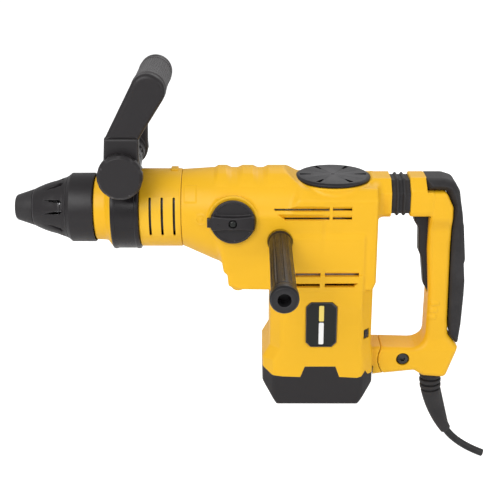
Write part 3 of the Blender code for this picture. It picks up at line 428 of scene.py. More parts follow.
def join(obj, *others):
    for other in others:
        combine(obj, other, "UNION")
    return obj


def turned_about(obj, degrees, axis, centre):
    """obj turned about a line through the centre."""
    spin = Matrix.Rotation(math.radians(degrees), 4, axis)
    centre = Vector(centre)
    obj.data.transform(Matrix.Translation(centre) @ spin @ Matrix.Translation(-centre))
    return obj


def copy_of(obj):
    made = bpy.data.objects.new(obj.name, obj.data.copy())
    bpy.context.scene.collection.objects.link(made)
    return made


def side_of(obj, side, name):
    """One half of a body that is split along the middle plane, with a hairline of air left at the joint."""
    half = copy_of(obj)
    half.name = name
    reach = 400
    low, high = sorted((side * GAP / 2, side * reach))
    combine(half, block((-100, low, -reach), (700, high, reach)), "INTERSECT")
    return half


def finish_piece(obj, name, body, material, replaces=(), sharp=34):
    """Takes a drawn piece to the frame, shades it, gives its material and says what it rides on."""
    obj.name = name
    points = np.empty(len(obj.data.vertices) * 3, np.float32)
    obj.data.vertices.foreach_get("co", points)
    points = points.reshape(-1, 3) * MM + ORIGIN
    obj.data.vertices.foreach_set("co", points.astype(np.float32).ravel())
    obj.data.name = name
    obj.data.update()
    obj.data.shade_smooth()
    obj.data.set_sharp_from_angle(angle=math.radians(sharp))
    obj.data.materials.clear()
    obj.data.materials.append(material)
    if body:
        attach(obj, body)
    if replaces:
        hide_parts(*replaces)
    return obj


# ---------------------------------------------------------------- materials


def shader_nodes(name):
    material = bpy.data.materials.new(name)
    material.use_nodes = True
    tree = material.node_tree
    shader = tree.nodes["Principled BSDF"]
    coords = tree.nodes.new("ShaderNodeTexCoord")
    return material, tree, shader, coords.outputs["Object"]


def noise(tree, coords, scale, detail=4, roughness=0.55):
    node = tree.nodes.new("ShaderNodeTexNoise")
    node.inputs["Scale"].default_value = scale
    node.inputs["Detail"].default_value = detail
    node.inputs["Roughness"].default_value = roughness
    tree.links.new(coords, node.inputs["Vector"])
    return node.outputs["Fac"]


def cells(tree, coords, scale, feature="F1"):
    node = tree.nodes.new("ShaderNodeTexVoronoi")
    node.feature = feature
    node.inputs["Scale"].default_value = scale
    tree.links.new(coords, node.inputs["Vector"])
    return node.outputs["Distance"]


def spread(tree, value, low, high, start=0.0, end=1.0):
    """Maps a value from start..end to low..high."""
    node = tree.nodes.new("ShaderNodeMapRange")
    node.inputs["From Min"].default_value = start
    node.inputs["From Max"].default_value = end
    node.inputs["To Min"].default_value = low
    node.inputs["To Max"].default_value = high
    tree.links.new(value, node.inputs["Value"])
    return node.outputs["Result"]


def mixed(tree, share, a, b):
    node = tree.nodes.new("ShaderNodeMix")
    node.data_type = "RGBA"
    tree.links.new(share, node.inputs["Factor"])
    for socket, colour in (("A", a), ("B", b)):
        target = [i for i in node.inputs if i.name == socket and i.type == "RGBA"][0]
        if isinstance(colour, tuple):
            target.default_value = (*colour, 1)
        else:
            tree.links.new(colour, target)
    return [o for o in node.outputs if o.type == "RGBA"][0]


def bumped(tree, shader, heights):
    """Adds bumps to the shader, each as (height, depth in metres)."""
    normal = None
    for height, depth in heights:
        node = tree.nodes.new("ShaderNodeBump")
        node.inputs["Distance"].default_value = depth
        tree.links.new(height, node.inputs["Height"])
        if normal:
            tree.links.new(normal, node.inputs["Normal"])
        normal = node.outputs["Normal"]
    tree.links.new(normal, shader.inputs["Normal"])


def edge_wear(tree, strength):
    """Share of wear on raised edges, from the mesh's pointiness."""
    geometry = tree.nodes.new("ShaderNodeNewGeometry")
    return spread(tree, geometry.outputs["Pointiness"], 0, strength, 0.515, 0.56)


def plastic(name, colour, pale, roughness, grain=2600, depth=0.00006, wear=0.3, specular=0.5):
    """Moulded plastic: spark-eroded grain, slow colour drift, handling marks and paler edges."""
    material, tree, shader, coords = shader_nodes(name)
    drift = noise(tree, coords, 9, 2)
    scuffs = noise(tree, coords, 70, 6, 0.7)
    darker = tuple(c * 0.93 for c in colour)
    body = mixed(tree, spread(tree, drift, 0, 1, 0.3, 0.7), darker, colour)
    body = mixed(tree, edge_wear(tree, wear), body, pale)
    tree.links.new(body, shader.inputs["Base Color"])
    tree.links.new(
        spread(tree, scuffs, roughness - 0.06, roughness + 0.08, 0.3, 0.7), shader.inputs["Roughness"]
    )
    shader.inputs["Specular IOR Level"].default_value = specular
    grain_height = noise(tree, coords, grain, 2)
    bumped(tree, shader, [(grain_height, depth), (scuffs, depth * 0.5)])
    return material


def rubber(name, colour, pale, roughness=0.62, grain=1500, depth=0.0001):
    """Soft over-moulded rubber: pebbled skin, a dull sheen and chalky edges."""
    material, tree, shader, coords = shader_nodes(name)
    pebbles = cells(tree, coords, grain)
    dust = noise(tree, coords, 34, 6, 0.7)
    body = mixed(tree, spread(tree, dust, 0, 0.6, 0.42, 0.75), colour, pale)
    body = mixed(tree, edge_wear(tree, 0.35), body, pale)
    tree.links.new(body, shader.inputs["Base Color"])
    tree.links.new(
        spread(tree, dust, roughness - 0.07, roughness + 0.12, 0.3, 0.7), shader.inputs["Roughness"]
    )
    shader.inputs["Specular IOR Level"].default_value = 0.28
    shader.inputs["Sheen Weight"].default_value = 0.05
    shader.inputs["Sheen Roughness"].default_value = 0.4
    bumped(tree, shader, [(pebbles, depth), (dust, depth * 0.6)])
    return material


def metal(name, colour, dark, roughness, stretch=(1, 1, 1), scale=60, depth=0.00003):
    """Machined or cast metal: tool marks drawn out along one axis, and an oil film that darkens it in
    patches.
    """
    material, tree, shader, coords = shader_nodes(name)
    mapping = tree.nodes.new("ShaderNodeMapping")
    mapping.inputs["Scale"].default_value = stretch
    tree.links.new(coords, mapping.inputs["Vector"])
    marks = noise(tree, mapping.outputs["Vector"], scale * 12, 5, 0.7)
    film = noise(tree, coords, scale, 4)
    body = mixed(tree, spread(tree, film, 0, 1, 0.35, 0.7), dark, colour)
    tree.links.new(body, shader.inputs["Base Color"])
    shader.inputs["Metallic"].default_value = 1
    tree.links.new(
        spread(tree, marks, roughness - 0.1, roughness + 0.14, 0.25, 0.75), shader.inputs["Roughness"]
    )
    bumped(tree, shader, [(marks, depth), (film, depth * 2)])
    return material


def winding(name):
    """Enamelled copper wire, wound side by side, with painted shading: darker between the turns as painted
    shade, paler along each turn as painted highlight.
    """
    material, tree, shader, coords = shader_nodes(name)
    wave = tree.nodes.new("ShaderNodeTexWave")
    wave.bands_direction = "Z"
    wave.inputs["Scale"].default_value = 320
    wave.inputs["Distortion"].default_value = 1.2
    tree.links.new(coords, wave.inputs["Vector"])
    painted_turn_shading = spread(tree, wave.outputs["Fac"], 0, 1)
    # the copper colour bands are painted light: painted shade between the turns, painted highlight along each
    # turn
    tree.links.new(mixed(tree, painted_turn_shading, (0.16, 0.045, 0.015), (0.72, 0.31, 0.13)), shader.inputs["Base Color"])
    shader.inputs["Metallic"].default_value = 0.85
    shader.inputs["Roughness"].default_value = 0.32
    shader.inputs["Coat Weight"].default_value = 0.4
    bumped(tree, shader, [(wave.outputs["Fac"], 0.0003)])
    return material


def make_materials():
    dark_edge = (0.11, 0.105, 0.11)
    return {
        "yellow": plastic(
            "amber_moulding", (0.83, 0.452, 0.011), (0.93, 0.58, 0.05), 0.42, wear=0.3, specular=0.3
        ),
        "black": plastic("black_moulding", (0.0175, 0.0155, 0.017), dark_edge, 0.4, wear=0.45, specular=0.3),
        "cap": plastic(
            "grey_cap_moulding", (0.0125, 0.0115, 0.014), dark_edge, 0.4, 2200, wear=0.6, specular=0.25
        ),
        "bar": plastic(
            "side_bar_moulding", (0.013, 0.0125, 0.014), dark_edge, 0.34, 2200, wear=0.7, specular=0.25
        ),
        "strap": plastic(
            "black_painted_steel", (0.0115, 0.01, 0.0115), (0.1, 0.1, 0.1), 0.3, 3000, 0.00003, 0.3, 0.3
        ),
        "satin": plastic(
            "satin_black_plate", (0.013, 0.0145, 0.0135), dark_edge, 0.33, 3400, 0.00002, 0.4, 0.25
        ),
        "white_bar": plastic("white_print", (0.86, 0.86, 0.84), (0.9, 0.9, 0.9), 0.4, 3400, 0.00002),
        "yellow_bar": plastic("yellow_print", (0.86, 0.62, 0.08), (0.9, 0.8, 0.3), 0.4, 3400, 0.00002),
        "rubber": rubber("overmould_rubber", (0.021, 0.0195, 0.0205), (0.05, 0.048, 0.05)),
        "grip": rubber("ribbed_grip_rubber", (0.052, 0.048, 0.05), (0.13, 0.125, 0.13), 0.5, 1200, 0.00016),
        "nose": rubber("nose_rubber", (0.018, 0.0165, 0.0175), (0.05, 0.048, 0.05), 0.45, 1900, 0.00006),
        "cable": rubber("cable_jacket", (0.016, 0.0155, 0.0165), (0.05, 0.05, 0.052), 0.38, 2600, 0.00003),
        # blackened steel for the pivot bolt; on the barrel housing the same dark metal is painted shade,
        # standing for the shade inside the barrel cover's slots
        "gunmetal": metal("blackened_steel_and_slot_shade", (0.09, 0.088, 0.09), (0.04, 0.04, 0.042), 0.36),
        "steel": metal("ground_steel", (0.62, 0.62, 0.64), (0.4, 0.4, 0.42), 0.27, (0.2, 1, 1)),
        "dark_steel": metal("phosphated_steel", (0.22, 0.215, 0.22), (0.1, 0.1, 0.105), 0.42),
        "aluminium": metal(
            "cast_aluminium", (0.7, 0.71, 0.72), (0.5, 0.51, 0.52), 0.46, (1, 1, 1), 90, 0.00012
        ),
        "copper": winding("wound_copper"),
        "brass": metal("turned_brass", (0.78, 0.52, 0.2), (0.5, 0.3, 0.1), 0.33, (1, 1, 0.2)),
        "carbon": plastic("pressed_carbon", (0.02, 0.02, 0.021), (0.09, 0.09, 0.09), 0.58, 900, 0.0002),
    }


MATERIALS = make_materials()


# ---------------------------------------------------------------- main housing

NOSE_X = drawn_box("housing_left")[0][0]  # seam with the barrel cover
MOTOR_X = middle_of("armature_shaft")[0]
WALL = 3.2
UPPER_HALF = BODY_HALF - 1.3  # half the width above the middle belt
MOTOR_HALF = BODY_HALF - 0.5
ARM_X = drawn_box("bellows")[0][0] - 0.3  # rear face of the housing's upper arm
HOUSING_FOOT = -192.0  # the housing is trimmed to the border line well above this
SEAM_R = 27.6  # round joint between the lower arm and the rear handle, about the pivot
HUMPS = ((211, 215, 223.7, 228.9), (235.5, 240.5, 251.5, 256.6), (262.5, 267.5, 290, 296))
HUMP_HEIGHT = 2.3


def nose_field(p):
    """The round front of the housing: it widens backwards, its underside slopes down as a chin, three humps
    cross its top, and a slope ends it in front of the crank cap."""
    x, y, z = p.T
    radius = 40.7 + 1.8 * ramp(x, NOSE_X, 208)
    half = radius + (UPPER_HALF - 42.5) * ease(x, 182, 222)
    chin = -0.4 * np.clip(x - NOSE_X, 0, 42)
    level = z - np.clip(z, chin, 0)
    lean = np.degrees(np.arctan2(np.abs(y), z))
    fade = 1 - ramp(lean, 22, 44)
    rise = np.zeros_like(x)
    for foot, start, end, heel in HUMPS:
        rise = np.maximum(rise, np.minimum(ramp(x, foot, start), 1 - ramp(x, end, heel)))
    pad = ramp(x, 180, 181) * (1 - ramp(x, 192.5, 193.5)) * ramp(lean, 39, 41) * (1 - ramp(lean, 65, 67))
    ring = length(x - 198, z)
    mark = (1 - ramp(np.abs(ring - 5.2), 0.5, 1)) + (1 - ramp(ring, 1.4, 2))
    mark = 0.6 * mark * ramp(-y, 20, 30)
    around = length(y * radius / half, level) - radius - HUMP_HEIGHT * rise * fade - 0.7 * pad - mark
    slope = (x - 284) * 0.6 + (z - 45) * 0.8
    body = meet_round(around, slope, 1.2)
    return meet_round(body, slab_field(x, NOSE_X, 322), 0.8)


def eight_sided(half, low, high, shoulder, drop, corner, edge=3.5):
    """A section with wide cut corners above and small ones below."""
    return rounded(
        [
            (-half, low + corner, edge),
            (corner - half, low, edge),
            (half - corner, low, edge),
            (half, low + corner, edge),
            (half, high - drop, edge),
            (half - shoulder, high, edge),
            (shoulder - half, high, edge),
            (-half, high - drop, edge),
        ]
    )


def belt(x, z):
    """How far the middle of the side walls stands out: a raised belt with a sloping upper edge."""
    along = ramp(x, 286, 291) * (1 - ramp(x, 366.5, 369.5))
    return 1.7 * ramp(-z, 13.4, 20.3) * (1 - ramp(-z, 96, 116)) * along


BLOCK_SECTION = eight_sided(UPPER_HALF, -80, 31.8, 12.5, 11, 3, 4.5)
BLOCK_SIDE = rounded(
    [
        (218.5, -44, 4),
        (220.8, -58, 2.5),
        (224.6, -61.5, 2.5),
        (225.8, -73.5, 2.5),
        (237, -78, 5),
        (377, -80, 2),
        (381, -70, 3),
        (381, 31.8, 2.5),
        (301, 31.8, 4),
        (290, 6, 9),
        (213, 6, 2),
    ]
)


def crank_block_field(p):
    x, y, z = p.T
    width = np.maximum(np.abs(y) - belt(x, z), 0)
    section = outline_field(width, z, BLOCK_SECTION)
    side_view = outline_field(x, z, BLOCK_SIDE)
    boss = rod_field(p, 2, CAP, CAP_R + 1.4, 0, 31.9, 1.0)
    screw_boss = rod_field(p, 1, (236, 0, -71.5), 8.6, -41, 41, 2)
    return join_round(join_round(meet_round(section, side_view, 4), boss, 2), screw_boss, 2)


FRONT_X, REAR_X = 269.5, 379.2  # motor section
MOTOR_PLAN = rounded(
    [
        (FRONT_X + 12, -MOTOR_HALF, 7),
        (REAR_X - 12, -MOTOR_HALF, 7),
        (REAR_X, 12 - MOTOR_HALF, 6),
        (REAR_X, MOTOR_HALF - 12, 6),
        (REAR_X - 12, MOTOR_HALF, 7),
        (FRONT_X + 12, MOTOR_HALF, 7),
        (FRONT_X, MOTOR_HALF - 12, 7),
        (FRONT_X, 12 - MOTOR_HALF, 7),
    ]
)
BASE_SIDE = rounded(
    [
        (240, -50, 0),
        (240, -188, 0),
        (262, -188, 5),
        (277.5, FLOOR_Z, 2.5),
        (365.5, FLOOR_Z, 2.5),
        (381.6, -190, 5),
        (400, -190, 0),
        (400, -50, 0),
    ]
)


def upright_field(p):
    """The motor section and the base under it, with the flare that carries the motor down to the base."""
    x, y, z = p.T
    flare = ramp(-z, 145, 158.5)
    u = x + 7.5 * flare * (1 - ramp(x, 276, 300)) - 2.4 * flare * ramp(x, 350, 374)
    width = np.maximum(np.abs(y) - belt(x, z) * (z < -60) - 0.5 * flare, 0)
    plan = outline_field(u, width, MOTOR_PLAN)
    return meet_round(meet_round(plan, z + 60, 1), outline_field(x, z, BASE_SIDE), 2.2)


ARM_SECTION = eight_sided(27, -4, 36, 13, 13, 5, 3)
LOWER_ARM_SIDE = [(360, -156), (410, -156), (410, -186), (384, -189.7), (360, -191)]


def arms_field(p):
    """The upper arm behind the crank, and the forked lower arm that the handle turns on."""
    x, y, z = p.T
    upper = meet_round(outline_field(y, z, ARM_SECTION), slab_field(x, CAP[0] + CAP_R + 1.2, ARM_X), 0.8)
    lower = meet_round(outline_field(x, z, LOWER_ARM_SIDE), np.abs(y) - 19.7, 5.5)
    seam = length(x - PIVOT[0], z - PIVOT[2]) - SEAM_R
    lower = cut_round(lower, seam, 0.8)
    along = np.clip(x, 384, PIVOT[0])
    tongue = meet_round(length(x - along, z - PIVOT[2]) - 9.5, np.abs(y) - 8.5, 1)
    return upper, np.minimum(lower, tongue)


def housing_field(p):
    upper_arm, lower_arm = arms_field(p)
    body = join_round(nose_field(p), crank_block_field(p), 6)
    body = join_round(body, upright_field(p), 2.5)
    body = join_round(body, upper_arm, 8)
    body = join_round(body, lower_arm, 3)
    ring = length(p[:, 0] - KNOB[0], p[:, 2] - KNOB[2])
    # The knob's round seat: a faint raised rim with a recess for the disc inside it.
    rim = np.maximum(ring - 26, np.abs(p[:, 1] + BODY_HALF - 3.3) - 3.2 + 0.25 * np.maximum(ring - 24, 0))
    body = join_round(body, rim, 2.5)
    seat = np.maximum(ring - 23.6, p[:, 1] + BODY_HALF - 0.7)
    body = cut_round(body, seat, 0.5)
    return np.maximum(body, HOUSING_FOOT - p[:, 2])


def hollow_field(p):
    """The room inside: the housing's own large shapes, drawn in by the wall."""
    x, y, z = p.T
    bore = length(y, z) - 38.4
    bore = np.maximum(bore, slab_field(x, 165, 262))
    wall_half = UPPER_HALF - WALL
    upper = box_field(p, (226, -wall_half, -74), (377.5, wall_half, 18), 6)
    crown = box_field(p, (296, -33, 0), (377.5, 33, 28.6), 5)
    lower = box_field(p, (273.5, 3.2 - MOTOR_HALF, -230), (375.8, MOTOR_HALF - 3.2, -63), 14)
    foot = box_field(p, (267, 3.6 - MOTOR_HALF, -230), (377.5, MOTOR_HALF - 3.6, -163), 16)
    arm = outline_field(y, z, eight_sided(24, -1, 33, 12, 12, 5, 2))
    arm = np.maximum(arm, slab_field(x, 374, 410))
    shapes = [bore, upper, crown, lower, foot, arm]
    for cylinder in ((36.9, 20, 60), (38, -10, 28.8)):
        shapes.append(rod_field(p, 2, CAP, cylinder[0], cylinder[1], cylinder[2], 0.3))
    return np.minimum.reduce(shapes)


def louvre(side, start, end, slit_z, rise, slant_start=0.0, slant_end=0.0):
    """A cutter for one air louvre: a facet that slopes in as it goes down, with a slit at its foot.
    The slants lean its two ends outwards above the slit."""
    face = BODY_HALF + 0.35
    depth, slit = 3.8, 1.05
    section = [
        (face + 8, slit_z + rise),
        (face + 8, slit_z - slit),
        (face - 9, slit_z - slit),
        (face - 9, slit_z + slit),
        (face - depth, slit_z + slit),
        (face - 1.1, slit_z + rise),
    ]
    cutter = prism("louvre", [(side * y, z) for y, z in section], start, end, "X")
    for vertex in cutter.data.vertices:
        share = max(0.0, (vertex.co.z - slit_z) / rise)
        vertex.co.x += -slant_start * share if vertex.co.x < (start + end) / 2 else slant_end * share
    return cutter


LOUVRES = (  # start, end, slit height, rise, slants
    (274, 330.2, 10.9, 4.6, 4, 0),
    (333.4, 353.4, 11.1, 4.6, 0, 0),
    (284.5, 330.2, 1.5, 5.4, 8, 0),
    (333.4, 353.4, 1.6, 5.4, 0, 0),
    (296, 322.2, -60.4, 3.4, 0, 0),
    (326.8, 362.4, -60.2, 3.4, 0, 0),
    (296, 321.8, -72.2, 3.6, 0, 0),
    (326.8, 357.5, -71.9, 3.6, 0, 4),
)

BORDER = [  # upper edge of the black base, seen from the side
    (240, -164),
    (262, -169.5),
    (272, -175.6),
    (285, -177.2),
    (302.8, -177.8),
    (307.5, -165.3),
    (340.6, -165.3),
    (345, -177.8),
    (364, -178.8),
    (369, -177.2),
    (373, -171.5),
    (376.5, -177.4),
    (400, -178.5),
]


def wheel_window():
    """The small window of the speed wheel, on the cut corner of the motor section."""
    window = block((-4.6, -14, -5.6), (4.6, 6, 5.6))
    turned_about(window, 45, "Z", (0, 0, 0))
    window.data.transform(Matrix.Translation((WHEEL[0] + 4.2, WHEEL[1] - 4.2, WHEEL[2])))
    return window


SCREWS = (  # right-hand side: x and z of the screws that hold the two halves together
    (200, 24),
    (236, -71.5),
    (290, -28),
    (366, 22),
    (367, -86),
    (283, -140),
    (366, -152),
)


def screw_seat(x, z, seat):
    """A cutter for a counterbored screw hole in the right side."""
    profile = [(seat - 9, 0), (seat - 9, 1.9), (seat - 2.2, 1.9), (seat - 2.2, 4.3), (60, 4.3), (60, 0)]
    return lathe("seat", profile, "Y", (x, 0, z), 40)


def screw_seat_y(x, z):
    """Where the right side's wall stands at a screw."""
    return 36.5 if x < 210 else 41 if z < -70 and x < 240 else BODY_HALF - 1


def housings():
    body = moulded("body", housing_field, (NOSE_X, -49.5, HOUSING_FOOT), (428, 49.5, 48), 0.95)
    base_line = BORDER[:-1] + [(384.4, -177.6), (384.4, -260), (240, -260)]
    cut(body, prism("border", base_line, -90, 90))
    cut(body, moulded("hollow", hollow_field, (165, -44, -231), (411, 44, 61), 2.4))
    cut(body, rod("Y", (PIVOT[0], 0, PIVOT[2]), 4.5, -30, 30, 32))
    cut(body, merged([louvre(side, *row) for row in LOUVRES for side in (-1, 1)]))
    cut(body, merged([screw_seat(x, z, screw_seat_y(x, z)) for x, z in SCREWS]))
    for side, name, node in ((-1, "case_left", "housing_left"), (1, "case_right", "housing_right")):
        half = side_of(body, side, name)
        if side < 0:
            cut(half, rod("Y", (KNOB[0], 0, KNOB[2]), 8.5, -60, -30, 40))
            cut(half, rod("Y", (SIDE_BAR[0], 0, SIDE_BAR[2]), 5.5, -60, -30, 40))
            cut(half, rod("Y", (SIDE_BAR[0], 0, SIDE_BAR[2]), 13.4, -60, -BODY_HALF + 1.4, 64))
            cut(half, wheel_window())
            cut(half, prism("plate_seat", plate_outline(0.9), -60, -MOTOR_HALF + 0.6))
        finish_piece(half, name, "housing", MATERIALS["yellow"], (node,))
    bpy.data.objects.remove(body)


def screw_head(x, z, seat, body, name):
    """A pan-head screw with a six-lobed recess, in the right side."""
    profile = [
        (seat - 8, 0), (seat - 8, 1.6), (seat - 2.1, 1.6), (seat - 2.1, 3.9), (seat - 0.6, 3.7, 0.8),
        (seat + 0.1, 2.4, 1)
    ]
    profile.append((seat + 0.1, 0))
    head = lathe("head", profile, "Y", (x, 0, z), 48)
    lobes = [
        (x + (1.55 + 0.35 * math.cos(6 * t)) * math.cos(t), z + (1.55 + 0.35 * math.cos(6 * t)) * math.sin(t))
        for t in np.linspace(0, 2 * math.pi, 37)[:-1]
    ]
    cut(head, prism("recess", lobes, seat - 1.5, seat + 3))
    finish_piece(head, name, body, MATERIALS["dark_steel"])


def case_screws():
    for i, (x, z) in enumerate(SCREWS):
        screw_head(x, z, screw_seat_y(x, z), "housing", f"case_screw_{i + 1}")


def plate_outline(grow=0.0):
    low, high, left, right, trim = -141.6, -90.6, 308, 340.5, 5.2
    low, left = low - grow, left - grow
    high, right = high + grow, right + grow
    return [
        (left + trim, low),
        (right - trim, low),
        (right, low + trim),
        (right, high - trim),
        (right - trim, high),
        (left + trim, high),
        (left, high - trim),
        (left, low + trim),
    ]


def name_plate():
    """A blank plate with a raised rim and two plain bars where a name would be."""
    face = -BODY_HALF - 0.9
    plate = prism("plate", plate_outline(), face, face + 1.6)
    cut(plate, prism("field", plate_outline(-1.3), face - 1, face + 0.35))
    finish_piece(plate, "rating_plate", "housing", MATERIALS["satin"], ("name_plate",))
    for name, low, high, key in (
        ("plate_bar_white", -138.6, -113.6, "white_bar"), ("plate_bar_yellow", -112, -94.2, "yellow_bar")
    ):
        outline = rounded([(321.6, low, 1.2), (326.8, low, 1.2), (326.8, high, 1.2), (321.6, high, 1.2)])
        bar = prism(name, outline, face + 0.05, face + 0.6)
        finish_piece(bar, name, "housing", MATERIALS[key])


def base_cap():
    """The black base: the same outline as the motor section, cut off above at the border line."""
    cap = moulded(
        "base", lambda p: np.maximum(upright_field(p), p[:, 2] + 160), (258, -49, FLOOR_Z), (386, 49, -160),
        0.95
    )
    above = [(x, z - GAP) for x, z in BORDER] + [(400, -100), (240, -100)]
    cut(cap, prism("border", above, -90, 90))
    cut(cap, block((274, -40, -200), (371, 40, -140)))
    cut(cap, rod("Z", (MOTOR_X, 0, 0), 11.5, -206.4, -190, 48))
    cut(cap, merged([block((330 + 7 * i, -28, -220), (333 + 7 * i, 28, -190)) for i in range(5)]))
    finish_piece(cap, "base_shell", "housing", MATERIALS["black"], ("base_cap",))


def crank_cap():
    """The round cap over the crank, with six tapered spanner notches and a centre mark."""
    low, high = drawn_box("crank_cap")[0][2], drawn_box("crank_cap")[1][2]
    profile = [
        (low, 32.4),
        (32.5, 32.4),
        (32.5, CAP_R - 0.6, 0.4),
        (33.4, CAP_R, 0.5),
        (high - 1.6, CAP_R, 1.0),
        (high, CAP_R - 2.6, 1.2),
        (high, 0),
        (high - 3.4, 0),
        (high - 3.4, 29.4),
        (low, 29.4),
    ]
    cap = lathe("cap", profile, "Z", (CAP[0], 0, 0), 144)
    notches = []
    for i in range(6):
        outline = [(23, -1), (35, -2.5), (35, 2.5), (23, 1)]
        notch = prism("notch", outline, high - 1.8, high + 2, "Z")
        turned_about(notch, 60 * i, "Z", (0, 0, 0))
        notch.data.transform(Matrix.Translation((CAP[0], 0, 0)))
        notches.append(notch)
    cut(cap, merged(notches))
    cut(cap, block((CAP[0] - 1.8, -1, high - 0.7), (CAP[0] + 1.8, 1, high + 1)))
    finish_piece(cap, "crank_cover", "housing", MATERIALS["cap"], ("crank_cap",))


# ---------------------------------------------------------------- barrel and chuck


def barrel_cover():
    """The yellow sleeve over the barrel: neck, clamp groove, three slots a side and a small top lug."""
    low, high = drawn_box("barrel_cover")
    rear = high[0]
    profile = [
        (low[0], 33.2, 0.4),
        (86.6, 34.3, 0.8),
        (98, 34.9, 4),
        (102.2, 40.6, 3),
        (104.3, 41.3, 0.7),
        (104.3, 38.1),
        (133.7, 38.1),
        (133.7, 41.4, 1.2),
        (rear - 0.6, 41.4, 0.5),
        (rear, 40.9),
        (rear, 38.6),
        (136.5, 38.6),
        (136.5, 36.6),
        (105.7, 36.6),
        (101.2, 31.5),
        (low[0], 31.5),
    ]
    cover = lathe("cover", profile, "X", (0, 0, 0), 180)
    for slot_x in (145.2, 157.6, 170):
        for side in (-1, 1):
            outline = rounded(
            [
                (slot_x - 1.3, -19.5, 1), (slot_x + 1.3, -19.5, 1),
                (slot_x + 1.3, 21.5, 1), (slot_x - 1.3, 21.5, 1)
            ]
            )
            y = sorted((side * 20, side * 60))
            cut(cover, prism("slot", outline, y[0], y[1]))
    lug = moulded(
        "lug", lambda p: box_field(p, (165.2, -3.2, 36), (173.2, 9.5, 42.9), 1.3), (165, -4, 36),
        (174, 10, 43), 0.5
    )
    join(cover, lug)
    finish_piece(cover, "barrel_shroud", "housing", MATERIALS["yellow"], ("barrel_cover",))


def dust_cap():
    high = drawn_box("dust_cap")[1]
    profile = [
        (0, 9.7, 0.4),
        (0, 11.6, 1),
        (1.6, 13.4, 1.4),
        (high[0] - 0.2, 19.2, 0.3),
        (high[0], 18.6),
        (high[0], 14.3),
        (5, 14.3),
        (5, 9.7, 0.3),
    ]
    cap = lathe("dust", profile, "X", (0, 0, 0), 128)
    finish_piece(cap, "nose_seal", "spindle", MATERIALS["nose"], ("dust_cap",))


def release_spring():
    """The coil spring behind the locking sleeve."""
    low, high = drawn_box("release_spring")
    wire, turns, sides, steps = 1.5, 4.5, 12, 220
    start, end, coil = low[0] + wire, high[0] - wire, high[1] - wire
    rings = []
    for i in range(steps):
        share = i / (steps - 1)
        turn = 2 * math.pi * turns * share
        for k in range(sides):
            spin = 2 * math.pi * k / sides
            reach = coil + wire * math.cos(spin)
            station = start + (end - start) * share + wire * math.sin(spin)
            rings.append((station, reach * math.cos(turn), reach * math.sin(turn)))
    spring = clean(mesh_object("spring", rings, tube_faces(steps, sides)))
    finish_piece(spring, "sleeve_spring", "spindle", MATERIALS["steel"], ("release_spring",))
    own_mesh(spring)


def tube_faces(rings, sides):
    """Faces of a tube given as rings of points, closed at both ends."""
    faces = [tuple(range(sides))[::-1], tuple(range((rings - 1) * sides, rings * sides))]
    for i in range(rings - 1):
        for k in range(sides):
            n = (k + 1) % sides
            faces.append((i * sides + k, i * sides + n, (i + 1) * sides + n, (i + 1) * sides + k))
    return faces


def petal_slits():
    """Twelve wedge-shaped slits that leave six tapered petals."""
    slits = []
    for i in range(6):
        for side in (-1, 1):
            inner = [(31.5, 7.6), (50.4, 3.4), (53.2, 4.6), (50.6, 7.4)]
            outline = [(x, side * y) for x, y in inner]
            slit = prism("slit", outline, 21, 40, "Z")
            turned_about(slit, 60 * i + 73, "X", (0, 0, 0))
            slits.append(slit)
    return slits


def locking_sleeve():
    """The sleeve that is pulled back to free the chisel: a swelling cone with six petals."""

    def swell(station, radius, angle):
        """Each petal rises gently from the cone and drops at its rear end."""
        turn = (np.degrees(angle) - 163 + 30) % 60 - 30
        near = np.clip(1 - (np.abs(turn) / (14 - 0.2 * (station - 30))) ** 4, 0, 1)
        rise = 1.5 * ramp(station, 27, 47) * (1 - ramp(station, 49.6, 51.4)) * near
        return np.where(radius > 19.3, radius + rise, radius)

    rear = drawn_box("locking_sleeve")[1][0]
    knots = [
        (19.4, 19.3), (24, 21.6), (31, 24.6), (38, 26.9), (44, 28.5), (48, 30), (51.5, 31.4), (53.6, 31.9),
        (rear, 33.2)
    ]
    stations = np.concatenate([np.linspace(19.4, 53.6, 30), [rear - 0.3, rear]])
    outer = [(x, float(np.interp(x, *zip(*knots)))) for x in stations]
    inner = [(rear, 18.2), (52.6, 18.2), (52.6, 27.4), (44, 26), (30, 18.4), (19.4, 17.6)]
    sleeve = lathe("sleeve", outer + inner, "X", (0, 0, 0), 240, 3, swell)
    cut(sleeve, *petal_slits())
    finish_piece(
        sleeve, "pull_sleeve", "chuck_sleeve", MATERIALS["black"], ("locking_sleeve",), 28
    )


def sleeve_ring():
    low, high = drawn_box("sleeve_ring")
    profile = [
        (low[0], 31.2),
        (low[0], 33.2, 0.5),
        (low[0] + 4, 36.6, 0.8),
        (high[0] - 1, 36.7, 0.8),
        (high[0], 36.2, 0.4),
        (high[0], 35.2),
        (66, 35.2),
        (66, 31.2),
    ]
    finish_piece(
        lathe("ring", profile, "X", (0, 0, 0), 160), "chuck_ring", "chuck_sleeve", MATERIALS["black"],
        ("sleeve_ring",)
    )


# ---------------------------------------------------------------- front handle


